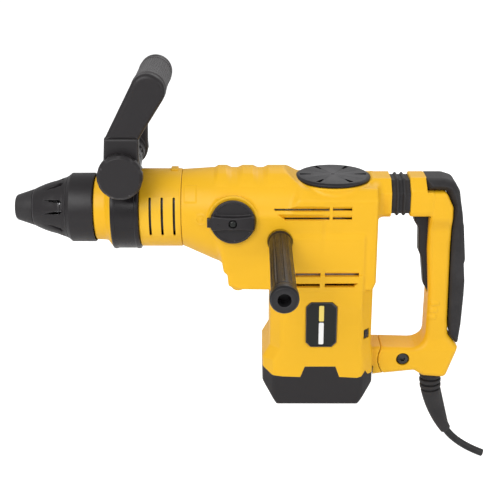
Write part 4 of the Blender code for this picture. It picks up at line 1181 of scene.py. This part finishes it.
def clamp_band():
    """The metal band round the barrel cover: two ears with a slit between them, a raised bead each side."""
    start, end = drawn_box("clamp_band")[0][0], 133.3
    profile = [
        (start, 38.7),
        (start, 43.2, 0.8),
        (start + 1, 44.2, 0.8),
        (start + 4, 44.2, 0.4),
        (start + 4.8, 43.5, 0.4),
        (end - 4.8, 43.5, 0.4),
        (end - 4, 44.2, 0.4),
        (end - 1, 44.2, 0.8),
        (end, 43.2, 0.8),
        (end, 38.7),
    ]
    band = lathe("band", profile, "X", (0, 0, 0), 180)

    def ears(p):
        x, y, z = p.T
        around = length(x - CLAMP[0], z - CLAMP[2]) - 15
        stem = np.maximum(slab_field(x, start + 0.4, end - 0.4), slab_field(z, 38.9, CLAMP[2]))
        ear = meet_round(join_round(around, stem, 3), slab_field(y, -15, 15), 1.2)
        return np.maximum(ear, 38.7 - length(y, z))

    join(band, moulded("ears", ears, (start, -16, 34), (136, 16, 68), 0.7))
    cut(band, block((90, -1.5, 37), (150, 1.5, 90)), rod("Y", (CLAMP[0], 0, CLAMP[2]), 4.4, -20, 20, 48))
    finish_piece(band, "clamp_strap", "clamp", MATERIALS["strap"], ("clamp_band",))


def tangent_point(start, centre, radius, side):
    """Where a line from start touches a circle, on its left (1) or its right (-1)."""
    ahead = Vector(centre) - Vector(start)
    turn = math.asin(radius / ahead.length)
    reach = math.sqrt(ahead.length**2 - radius**2)
    return tuple(Vector(start) + Matrix.Rotation(side * turn, 2) @ ahead.normalized() * reach)


BEND_Z = 88.5


def bow_arm_field(p):
    """One arm: a round end at the bolt, a bend, and a tapering run to the bar."""
    x, y, z = p.T
    foot = length(x - CLAMP[0], z - CLAMP[2]) - 18
    shank = outline_field(x, z, [(101, 52), (103.4, BEND_Z), (137.8, BEND_Z), (137, 52)])
    head_r = 17.4
    left = tangent_point((103.4, BEND_Z - 1), (BAR[0], BAR[2]), head_r, 1)
    right = tangent_point((137.8, BEND_Z - 1), (BAR[0], BAR[2]), head_r, -1)
    upper = outline_field(x, z, [(103.4, BEND_Z - 1), left, (BAR[0], BAR[2]), right, (137.8, BEND_Z - 1)])
    head = length(x - BAR[0], z - BAR[2]) - head_r
    lower_part = meet_round(join_round(foot, shank, 2), np.abs(np.abs(y) - 51) - 6.1, 2.4)
    upper_part = meet_round(np.minimum(upper, head), np.abs(np.abs(y) - 51.6) - 6.9, 5)
    return join_round(lower_part, upper_part, 0.8)


def bow_handle():
    """The bow: two arms, the bar core between them, round hubs at the clamp with serrated faces."""
    low, high = drawn_box("bow_handle")

    def field(p):
        y = p[:, 1]
        arms = bow_arm_field(p)
        bar = rod_field(p, 1, BAR, 13, -52, 52, 1)
        hub = rod_field(p, 1, CLAMP, 15.5, -50, 50, 1.5)
        hub = np.maximum(hub, 27.2 - np.abs(y))
        spigot = rod_field(p, 1, CLAMP, 9.8, -30, 30, 0.5)
        spigot = np.maximum(spigot, 15.5 - np.abs(y))
        return np.minimum(join_round(arms, hub, 2), np.minimum(bar, spigot))

    bow = moulded("bow", field, (98, low[1], 32), (170, high[1], 156), 0.85)
    cut(bow, rod("Y", (CLAMP[0], 0, CLAMP[2]), 4.4, -70, 70, 48))
    finish_piece(bow, "bow_frame", "bow", MATERIALS["black"], ("bow_handle",), 40)


def tooth_rings():
    """The serrated rings between the bow's hubs and the clamp."""
    for side, name in ((-1, "tooth_ring_left"), (1, "tooth_ring_right")):
        outline = []
        for i in range(72):
            radius = 14.6 if i % 4 in (0, 1) else 13.2
            turn = 2 * math.pi * i / 72
            outline.append((CLAMP[0] + radius * math.cos(turn), CLAMP[2] + radius * math.sin(turn)))
        low, high = sorted((side * 16, side * 26.6))
        ring = prism("teeth", outline, low, high)
        cut(ring, rod("Y", (CLAMP[0], 0, CLAMP[2]), 10.1, -70, 70, 64))
        finish_piece(ring, name, "bow", MATERIALS["black"])


def bow_grip():
    """The grey rubber grip: fine ribs along it, plain collars and a shallow waist in the middle."""
    half = 44.6

    def ribs(station, radius, angle):
        rib = np.clip(1.35 - np.abs(np.sin(angle * 21)) * 2, -0.15, 1) * 0.55
        share = (1 - ramp(np.abs(station), 36, 38)) * ramp(radius, 15, 16)
        return radius + rib * share

    outer = [(-half, 15.6, 0.6), (-half + 1.6, 17.7, 1.4), (-half + 6.2, 17.7, 0.8), (-half + 7.2, 16.9, 0.5)]
    outer += [(x, 16.9 - 0.5 * math.cos(math.pi * x / 76) ** 2) for x in np.linspace(-36, 36, 19)]
    outer += [(-c[0], *c[1:]) for c in reversed(outer[:4])]
    inner = [(half, 13.1), (-half, 13.1)]
    grip = lathe("grip", outer + inner, "Y", (BAR[0], 0, BAR[2]), 336, 3, ribs)
    finish_piece(grip, "bow_grip_sleeve", "bow", MATERIALS["grip"], ("bow_grip",), 30)


def clamp_knob():
    """The round clamp knob: a flat face, a chamfered rim and finger flutes round its back."""
    low, high = drawn_box("clamp_knob")
    front, back, radius = low[1], high[1], (high[0] - low[0]) / 2

    def flutes(station, r, angle):
        dent = np.clip(np.cos(angle * 10) - 0.35, 0, 1) * 1.5
        share = ramp(r, 21, 22.5) * ramp(station, front + 2.6, front + 4)
        return r - dent * share

    profile = [
        (front, 0),
        (front, 18.8),
        (front, 20, 0.7),
        (front + 3, radius, 1),
        (back - 1.4, radius, 1),
        (back, radius - 1.6, 0.8),
        (back, 0),
    ]
    knob = lathe("clamp", profile, "Y", CLAMP, 180, 3, flutes)
    finish_piece(knob, "tilt_knob", "clamp_knob", MATERIALS["black"], ("clamp_knob",))


def hexagon(centre, across, start=0.0):
    radius = across / math.sqrt(3)
    return [
        (
            centre[0] + radius * math.cos(math.radians(start + 60 * i)),
            centre[2] + radius * math.sin(math.radians(start + 60 * i))
        )
        for i in range(6)
    ]


# ---------------------------------------------------------------- controls on the side


def mode_knob():
    """The mode knob: a round disc with a curved grip across it and a pointer."""
    x0, z0 = KNOB[0], KNOB[2]
    face, back = -53.0, -48.2

    def field(p):
        x, y, z = p.T
        across = length(x - x0, z - z0)
        disc = meet_round(across - 23, slab_field(y, face, back), 1.2)
        dish = cut_round(disc, np.maximum(across - 20.5, y + 52.3), 0.4)
        waist = 6.6 + 1.6 * ((x - x0) / 22) ** 2
        grip = meet_round(np.abs(z - z0) - waist, np.maximum(x0 - 22.4 - x, x - x0 - 22.3), 3)
        grip = meet_round(grip, slab_field(y, -58.4 + 0.012 * (x - x0) ** 2 * 0.25, back), 1.8)
        tip = meet_round(
            np.maximum(np.abs(z - z0) - 4.6, slab_field(x, 204.6, 213)), slab_field(y, -56, -48.7), 1
        )
        return join_round(join_round(dish, grip, 1.6), tip, 0.8)

    knob = moulded("knob", field, (204, -59.2, -24), (256, -48, 24), 0.55)
    cut(knob, rod("Y", (x0, 0, z0), 4.6, -62, -53.2, 48))
    shaft = rod("Y", (x0, 0, z0), 8, -48.6, -37.6, 64)
    join(knob, shaft)
    cut(knob, prism("mark", [(x0 - 14.2, z0 - 1.5), (x0 - 16.9, z0), (x0 - 14.2, z0 + 1.5)], -60, -57.2))
    finish_piece(knob, "mode_selector", "mode_knob", MATERIALS["black"], ("mode_knob",))


def knob_button():
    low, high = drawn_box("knob_button")
    front, back = low[1], high[1]
    radius = (high[0] - low[0]) / 2 - 0.9
    profile = [
        (front, 0), (front + 0.1, radius - 1.2, 0.5), (front + 0.8, radius, 0.4), (back, radius), (back, 0)
    ]
    button = lathe("button", profile, "Y", KNOB, 64)
    finish_piece(
        button, "selector_button", "knob_button", MATERIALS["satin"], ("knob_button",)
    )


def side_bar():
    """The side handle: a flange, a fluted stem that narrows, and a plain collar with an open end."""
    x0, z0 = SIDE_BAR[0], SIDE_BAR[2]
    low, high = drawn_box("side_handle_grip")
    inner, outer = high[1], low[1]

    def flutes(station, radius, angle):
        dent = np.clip(np.cos(angle * 11) * 1.6 - 0.5, 0, 1) * 0.95
        share = ramp(-station, 55, 60) * (1 - ramp(-station, 184, 188)) * ramp(radius, 9.5, 10.5)
        return radius - dent * share

    profile = [
        (inner, 0),
        (inner, 12.2, 0.5),
        (inner - 2, 12.9, 0.8),
        (inner - 4.6, 12.6, 0.8),
        (inner - 6, 11.9, 0.6),
    ]
    profile += [(s, 11.9 + 0.2 * math.cos(s / 30)) for s in np.linspace(-56, -188, 23)]
    profile += [
        (-190.5, 12.1, 0.4),
        (-191.6, 11.3, 0.5),
        (-193.6, 11.3, 0.5),
        (-195.2, 13.6, 0.8),
        (-204.4, 13.6, 1),
        (outer, 12, 0.8),
        (outer, 6.4, 0.5),
        (outer + 14, 6),
        (outer + 14, 0),
    ]
    bar = lathe("bar", profile, "Y", (x0, 0, z0), 264, 3, flutes)
    cut(bar, rod("Y", (x0, 0, z0), 5.1, inner - 16, inner + 5, 48))
    finish_piece(bar, "side_bar", "housing", MATERIALS["bar"], ("side_handle_grip",))


def speed_wheel():
    """The thumb wheel: coarse teeth round it, on the slanted axis of the cut corner."""
    outline = []
    for i in range(96):
        radius = 8.95 if i % 4 in (0, 1) else 8.25
        turn = 2 * math.pi * i / 96
        outline.append((radius * math.cos(turn), radius * math.sin(turn)))
    wheel = prism("wheel", outline, -2.8, 2.8, "X")
    turned_about(wheel, 45, "Z", (0, 0, 0))
    wheel.data.transform(Matrix.Translation(Vector(WHEEL)))
    finish_piece(wheel, "thumb_wheel", "speed_wheel", MATERIALS["satin"], ("speed_wheel",))


# ---------------------------------------------------------------- rear handle

HANDLE_OUTLINE = rounded(
    [
        (416.3, 36, 1),
        (431.7, 36, 1),
        (432.7, 22.7, 2),
        (453.7, 22.7, 6),
        (461.7, 6, 8),
        (462.7, -55, 20),
        (464.2, -124, 20),
        (465.7, -142.3, 8),
        (476.9, -156.4, 2),
        (476, -161, 3),
        (465, -193, 6),
        (440, -191, 6),
        (430, -184.4, 6),
        (384, -189.4, 0),
        (384, -155.6, 0),
        (441, -157.6, 15),
        (441.4, -91, 20),
        (438, -44, 20),
        (438, -4, 0.5),
        (416.3, -4, 2),
    ]
)
OVERMOLD_OUTLINE = rounded(
    [
        (432.6, 36, 1),
        (452, 36, 10),
        (463, 32.5, 8),
        (469, 22, 12),
        (474.3, -12, 10),
        (475.6, -17, 4),
        (479.3, -55, 10),
        (478.3, -60, 3),
        (480.3, -80, 30),
        (480.3, -97, 30),
        (479.3, -130, 12),
        (477, -155.4, 2),
        (466.4, -142, 3),
        (464.7, -124, 20),
        (463.2, -55, 20),
        (462.2, 6, 8),
        (454.2, 23.2, 6),
        (433.2, 23.2, 1),
    ]
)


def handle_half_width(z):
    """Half the thickness: wide at the upper arm, narrower down the grip, wide again at the lower block."""
    top = ease(z, -22, -4)
    bottom = ease(-z, 146, 160)
    return 17.2 + 6.6 * top + 3.3 * bottom


def rear_handle_field(p):
    x, y, z = p.T
    side_view = outline_field(x, z, HANDLE_OUTLINE)
    width = handle_half_width(z)
    roundness = 4 + 2 * ease(-z, 20, 40)
    for i in range(3):
        rib = ramp(2.6 - np.abs(z + 104.5 + 8 * i), 0, 1) * (1 - ramp(np.abs(x - 449 + 1.5 * i), 4, 5.5))
        width = width + 0.8 * rib
    body = join_soft(side_view, np.abs(y) - width, roundness)
    arm = meet_round(
        outline_field(y, z, eight_sided(24.2, -4, 36, 12, 11.5, 5, 3)), slab_field(x, 416.3, 440), 1.2
    )
    body = np.maximum(
        body, np.where(z > -6, outline_field(y, z, eight_sided(24.4, -30, 36, 12, 11.5, 5, 3)), -50)
    )
    body = join_round(body, arm, 1.5)
    nose = length(x - PIVOT[0], z - PIVOT[2]) - 27
    nose = np.where((x < PIVOT[0]) & (z < -150), nose, -50)
    return meet_round(body, nose, 0.8)


def join_soft(a, b, radius):
    """Intersection with a rounding radius that may change from place to place."""
    u, v = np.maximum(a + radius, 0), np.maximum(b + radius, 0)
    return np.minimum(np.maximum(a, b), -radius) + length(u, v)


def handle_hollow_field(p):
    x, y, z = p.T
    arm_side = [
        (413, -0.6), (413, 32.6), (428, 32.6), (430, 19), (452, 19), (457, 4), (457, -10), (413, -0.6)
    ]
    arm = np.maximum(
        outline_field(y, z, eight_sided(21, -30, 32.6, 12, 11.5, 5, 3)), outline_field(x, z, arm_side)
    )
    room = np.maximum(
        outline_field(x, z, [
            (441.5, 6), (458, 6), (466, -55), (467, -124),
            (462, -148), (458, -176), (447, -176), (446, -91)
        ]),
        np.abs(y) - 10.5
    )
    slot = np.maximum(outline_field(x, z, [(421, -3), (450, -3), (455, -96), (434, -96)]), np.abs(y) - 8.6)
    tongue = np.maximum(np.maximum(slab_field(x, 360, 432), slab_field(z, -182, -158.5)), np.abs(y) - 9.3)
    spring_room = rod_field(p, 0, (0, 0, 16), 16.4, 410, 444, 0.5)
    return np.minimum.reduce([arm, room, slot, tongue, spring_room])


HANDLE_SCREW = (450, -182, 20)  # right-hand side: x, z and the depth of its seat


def rear_handles():
    body = moulded("grip", rear_handle_field, (384, -25, -194), (478, 25, 37), 0.85)
    inside = moulded("room", handle_hollow_field, (360, -21, -183), (468, 21, 34), 1.6)
    cut(body, inside)
    cut(body, rod("Y", (PIVOT[0], 0, PIVOT[2]), 4.5, -40, 40, 40))
    cut(
        body, rod("Y", (PIVOT[0], 0, PIVOT[2]), 7.4, -40, -15.2, 48),
        rod("Y", (PIVOT[0], 0, PIVOT[2]), 7.4, 16, 40, 48)
    )
    cut(body, rod("Z", (451.5, 0, 0), 9.2, -200, -172, 48))
    edge = copy_of_outline(OVERMOLD_OUTLINE, 0.25)
    cut(body, prism("overmould", edge, -40, 40))
    for side, name, node in ((-1, "grip_left", "rear_handle_left"), (1, "grip_right", "rear_handle_right")):
        half = side_of(body, side, name)
        if side > 0:
            cut(half, screw_seat(*HANDLE_SCREW))
        finish_piece(half, name, "rear_handle", MATERIALS["yellow"], (node,))
    bpy.data.objects.remove(body)
    x, z, seat = HANDLE_SCREW
    screw_head(x, z, seat, "rear_handle", "grip_screw")


def copy_of_outline(outline, grow):
    """An outline pushed outwards by a small distance, point by point."""
    made = []
    count = len(outline)
    points = [Vector(p) for p in outline]
    turn = sum(
        points[i].x * points[(i + 1) % count].y - points[(i + 1) % count].x * points[i].y
        for i in range(count)
    )
    for i in range(count):
        edge = (points[(i + 1) % count] - points[i - 1]).normalized()
        out = Vector((edge.y, -edge.x)) * (1 if turn > 0 else -1)
        made.append(tuple(points[i] + out * grow))
    return made


def grip_overmold():
    """The dark rubber back of the handle, from the upper corner down to the heel."""

    def field(p):
        x, y, z = p.T
        side_view = outline_field(x, z, OVERMOLD_OUTLINE)
        width = 17.6 + 6.2 * ease(z, -20, 6)
        body = join_soft(side_view, np.abs(y) - width, 5.5 + 7 * ease(z, -10, 14))
        return np.maximum(body, side_view + 0.05)

    grip = moulded("overmould", field, (432, -25, -156), (481, 25, 37), 0.85)
    core = [
        (433.6, 31.5), (451, 31.5), (460, 28.5), (464.8, 20.5), (470, -12), (475, -55), (476, -97),
        (475, -130), (473, -146)
    ]
    core += [(455, -150), (450, 10), (433.6, 22)]
    cut(grip, prism("core", core, -14, 14))
    finish_piece(grip, "rubber_back", "rear_handle", MATERIALS["rubber"], ("grip_overmold",), 40)


def trigger():
    """The long trigger: a finger hollow near the top, a rounded front and a beak at its foot."""
    outline = rounded(
        [
            (423, -6.5, 1),
            (441, -6.5, 1),
            (444, -92, 1),
            (441.4, -93, 0.8),
            (436.8, -86, 2),
            (433, -55, 5),
            (429.6, -47.5, 2),
            (428.6, -22, 6),
            (423.6, -14, 1),
        ]
    )

    def field(p):
        x, y, z = p.T
        return meet_round(outline_field(x, z, outline), np.abs(y) - 7.8, 2.6)

    finish_piece(
        moulded("trigger", field, (422, -8, -94), (445, 8, -6), 0.5), "trigger_blade", "trigger",
        MATERIALS["black"], ("trigger",)
    )


def bellows():
    """The rubber bellows that joins the housing's upper arm to the handle."""
    low, high = drawn_box("bellows")
    start, end = low[0], high[0]

    def field(p):
        x, y, z = p.T
        swell = np.zeros_like(x)
        for ridge in (402.5, 409.5):
            swell = np.maximum(swell, np.clip(1.25 - np.abs(x - ridge) / 2, 0, 1))
        shell = outline_field(y, z, BELLOWS_SECTION) - 2.2 * swell * swell * (3 - 2 * swell)
        outside = meet_round(shell, slab_field(x, start, end), 0.6)
        inside = np.maximum(
            outline_field(y, z, BELLOWS_SECTION) + 3 - 1.6 * swell, slab_field(x, start - 5, end + 5)
        )
        return np.maximum(outside, -inside)

    sleeve = moulded("bellows", field, (start, low[1], low[2]), (end, high[1], high[2]), 0.7)
    finish_piece(sleeve, "flexing_bellows", None, MATERIALS["rubber"], ("bellows",), 50)
    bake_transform(sleeve)


BELLOWS_SECTION = eight_sided(23.6, -1, 33.4, 11.5, 11.5, 4, 3)


# ---------------------------------------------------------------- pivot bolt, cord and its boot


def pivot_bolt():
    """The bolt the handle turns on: a socket head in a recess, the shank, and a nut on the far side."""
    low, high = drawn_box("pivot_bolt")
    profile = [
        (low[1], 0),
        (low[1], 5.8, 0.6),
        (low[1] + 1, 6.6, 0.5),
        (-15.6, 6.6),
        (-15.6, 4),
        (16.2, 4),
        (16.2, 5.6),
        (high[1], 5.6),
        (high[1], 0),
    ]
    bolt = lathe("bolt", profile, "Y", PIVOT, 64)
    cut(bolt, prism("socket", hexagon(PIVOT, 5.2), low[1] - 1, low[1] + 2.4))
    finish_piece(bolt, "handle_bolt", "housing", MATERIALS["gunmetal"], ("pivot_bolt",))


BOOT_CENTRE = (579.5, -196)
BOOT_R = 128


def along_boot(station, radius, angle):
    """Bends a straight turned shape (station 0 at the handle, growing downwards) along the cord's arc."""
    turn = math.pi + station / BOOT_R
    reach = BOOT_R - radius * np.cos(angle)
    return np.stack(
        [
            BOOT_CENTRE[0] + reach * np.cos(turn),
            radius * np.sin(angle),
            BOOT_CENTRE[1] + reach * np.sin(turn)
        ],
        axis=1
    )


def bent(name, profile, steps=96):
    """A turned profile swept along the cord's arc; stations before 0 carry straight on upwards."""
    loop = np.array(rounded([(c[0], c[1], c[2] if len(c) > 2 else 0) for c in profile], 3))
    turns = 2 * math.pi * np.arange(steps) / steps
    station, radius, angle = np.tile(
        loop[:, 0], steps
    ), np.tile(loop[:, 1], steps), np.repeat(turns, len(loop))
    points = along_boot(np.maximum(station, 0), radius, angle)
    points[:, 2] += np.maximum(-station, 0)
    count, faces = len(loop), []
    for i in range(steps):
        a, b = i * count, (i + 1) % steps * count
        for k in range(count):
            n = (k + 1) % count
            if loop[k, 1] > 1e-6 or loop[n, 1] > 1e-6:
                faces.append((a + k, a + n, b + n, b + k))
    return clean(mesh_object(name, points, faces))


def cord_boot():
    """The strain relief: a collar, two free rings and a smooth tapering tail."""
    profile = [
        (-14, 4.5), (-14, 8.6), (-2.6, 8.6), (-2.2, 11.7, 0.8), (1.6, 12.2, 0.8), (3.8, 11.4, 0.6), (4.2, 9)
    ]
    station, radius = 5.6, 12.2
    for _ in range(2):
        profile += [
            (station, 9), (station + 0.3, radius, 0.8), (station + 4.2, radius - 0.2, 0.8),
            (station + 4.6, 9)
        ]
        station, radius = station + 6.6, radius - 0.3
    profile += [(station, 9), (station + 0.4, 11.2, 0.8)]
    profile += [
        (s, 11.3 - 5.2 * ramp(s, station, BOOT_END) ** 0.9)
        for s in np.linspace(station + 6, BOOT_END - 1, 12)
    ]
    profile += [(BOOT_END, 5.4, 0.4), (BOOT_END, 4.5)]
    finish_piece(
        bent("boot", profile, 96), "strain_relief", "rear_handle", MATERIALS["rubber"],
        ("cord_boot",), 40
    )


BOOT_END = 76.0


def cord():
    """The cable: straight on from the boot, then lifted into a gentler slope, with a cut end."""
    low, high = drawn_box("cord")
    turn = math.pi + BOOT_END / BOOT_R
    start = Vector((BOOT_CENTRE[0] + BOOT_R * math.cos(turn), BOOT_CENTRE[1] + BOOT_R * math.sin(turn)))
    heading = Vector((-math.sin(turn), math.cos(turn)))
    end = Vector((high[0] - 2.2, low[2] + 4.6))
    bend = start + heading * 22
    path = []
    for t in np.linspace(-0.25, 1, 60):
        path.append(
            start + heading * 44 * t if t < 0 else start * (1 - t) ** 2 + bend * 2 * t * (1 - t) + end * t * t
        )
    rings, sides = [], 32
    for i, here in enumerate(path):
        along = (path[min(i + 1, 59)] - path[max(i - 1, 0)]).normalized()
        for k in range(sides):
            spin = 2 * math.pi * k / sides
            out = 4.25 * math.cos(spin)
            rings.append((here.x - along.y * out, 4.25 * math.sin(spin), here.y + along.x * out))
    cable = clean(mesh_object("cable", rings, tube_faces(len(path), sides)))
    finish_piece(cable, "power_cord", "rear_handle", MATERIALS["cable"], ("cord",), 40)


# ---------------------------------------------------------------- everything else from the CAD


SLOT_LOOKS = {
    "yellow_plastic": "yellow",
    "black_plastic": "black",
    "rubber": "rubber",
    "steel": "steel",
    "dark_steel": "dark_steel",
    "aluminium": "aluminium",
    "copper": "copper",
    "carbon": "carbon",
    "label": "satin",
    "cable": "cable",
}
# the barrel housing's dark metal is painted shade: seen through the barrel cover's slots, it stands for the
# shade inside them
OWN_LOOKS = {"brush_holder_left": "brass", "brush_holder_right": "brass", "barrel_housing": "gunmetal"}


def dress_carried_nodes():
    """Gives the CAD nodes that no piece replaces their procedural materials, by their slots."""
    for name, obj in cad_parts.items():
        look = OWN_LOOKS.get(name)
        if look is None:
            packed = obj.data.materials[0].name
            look = next(key for slot, key in SLOT_LOOKS.items() if packed.startswith(slot))
        obj.data.materials.clear()
        obj.data.materials.append(MATERIALS[look])


# ---------------------------------------------------------------- studio


def area_light(name, place, aim, size, power, colour=(1, 1, 1)):
    data = bpy.data.lights.new(name, "AREA")
    data.shape = "RECTANGLE"
    data.size, data.size_y = size
    data.energy = power
    data.color = colour
    lamp = bpy.data.objects.new(name, data)
    lamp.location = place
    lamp.rotation_euler = (Vector(aim) - Vector(place)).to_track_quat("-Z", "Y").to_euler()
    bpy.context.scene.collection.objects.link(lamp)
    return lamp


FLOOR_GLOW = 0.55  # lifts the paper to white for the camera alone, as in a bright studio sweep
AMBIENT = 0.56  # strength of the surround as a light; the camera sees it as white


def studio():
    """A pale floor and a near-white surround, with a large soft key, a weaker fill and a rim light behind."""
    world = bpy.data.worlds.new("studio")
    world.use_nodes = True
    tree = world.node_tree
    background = tree.nodes["Background"]
    background.inputs["Color"].default_value = (1, 1, 1, 1)
    path = tree.nodes.new("ShaderNodeLightPath")
    strength = spread(tree, path.outputs["Is Camera Ray"], AMBIENT, 1.0)
    tree.links.new(strength, background.inputs["Strength"])
    bpy.context.scene.world = world
    aim = (0.0, 0.0, 0.18)
    area_light("key", (-0.7, -1.2, 1.2), aim, (1.0, 1.0), 18)
    area_light("fill", (1.3, -1.1, 0.7), aim, (1.0, 1.0), 6)
    area_light("rim", (0.5, 1.2, 1.4), aim, (1.0, 0.8), 6)
    material, tree, shader, coords = shader_nodes("floor_paper")
    fibres = noise(tree, coords, 900, 4)
    tree.links.new(mixed(tree, fibres, (0.93, 0.93, 0.93), (0.97, 0.97, 0.97)), shader.inputs["Base Color"])
    shader.inputs["Roughness"].default_value = 0.9
    shader.inputs["Specular IOR Level"].default_value = 0.1
    shader.inputs["Emission Color"].default_value = (1, 1, 1, 1)
    path = tree.nodes.new("ShaderNodeLightPath")
    glow = spread(tree, path.outputs["Is Camera Ray"], 0, FLOOR_GLOW)
    tree.links.new(glow, shader.inputs["Emission Strength"])
    bumped(tree, shader, [(fibres, 0.0002)])
    bpy.ops.mesh.primitive_plane_add(size=14)
    floor = bpy.context.object
    floor.name = "floor"
    floor.location = (0, 0, CAD_BOX[0][2] - 0.001)
    floor.data.materials.append(material)


def camera():
    """The main view: square to the side with the knob, a little behind the middle, 20 degrees above level."""
    data = bpy.data.cameras.new("camera")
    data.lens = 79.2
    data.sensor_width = 36
    eye = bpy.data.objects.new("camera", data)
    eye.location = ORIGIN + np.array([248.5, -1118.0, 358.1]) * MM
    eye.rotation_euler = (math.radians(70), 0, 0)
    bpy.context.scene.collection.objects.link(eye)
    bpy.context.scene.camera = eye
    bpy.context.scene.view_settings.view_transform = "Standard"


PIECES = (
    housings,
    case_screws,
    name_plate,
    base_cap,
    crank_cap,
    barrel_cover,
    dust_cap,
    locking_sleeve,
    release_spring,
    sleeve_ring,
    clamp_band,
    bow_handle,
    tooth_rings,
    bow_grip,
    clamp_knob,
    mode_knob,
    knob_button,
    side_bar,
    speed_wheel,
    rear_handles,
    grip_overmold,
    trigger,
    bellows,
    pivot_bolt,
    cord_boot,
    cord,
)

for make_piece in PIECES:
    make_piece()
dress_carried_nodes()
studio()
camera()
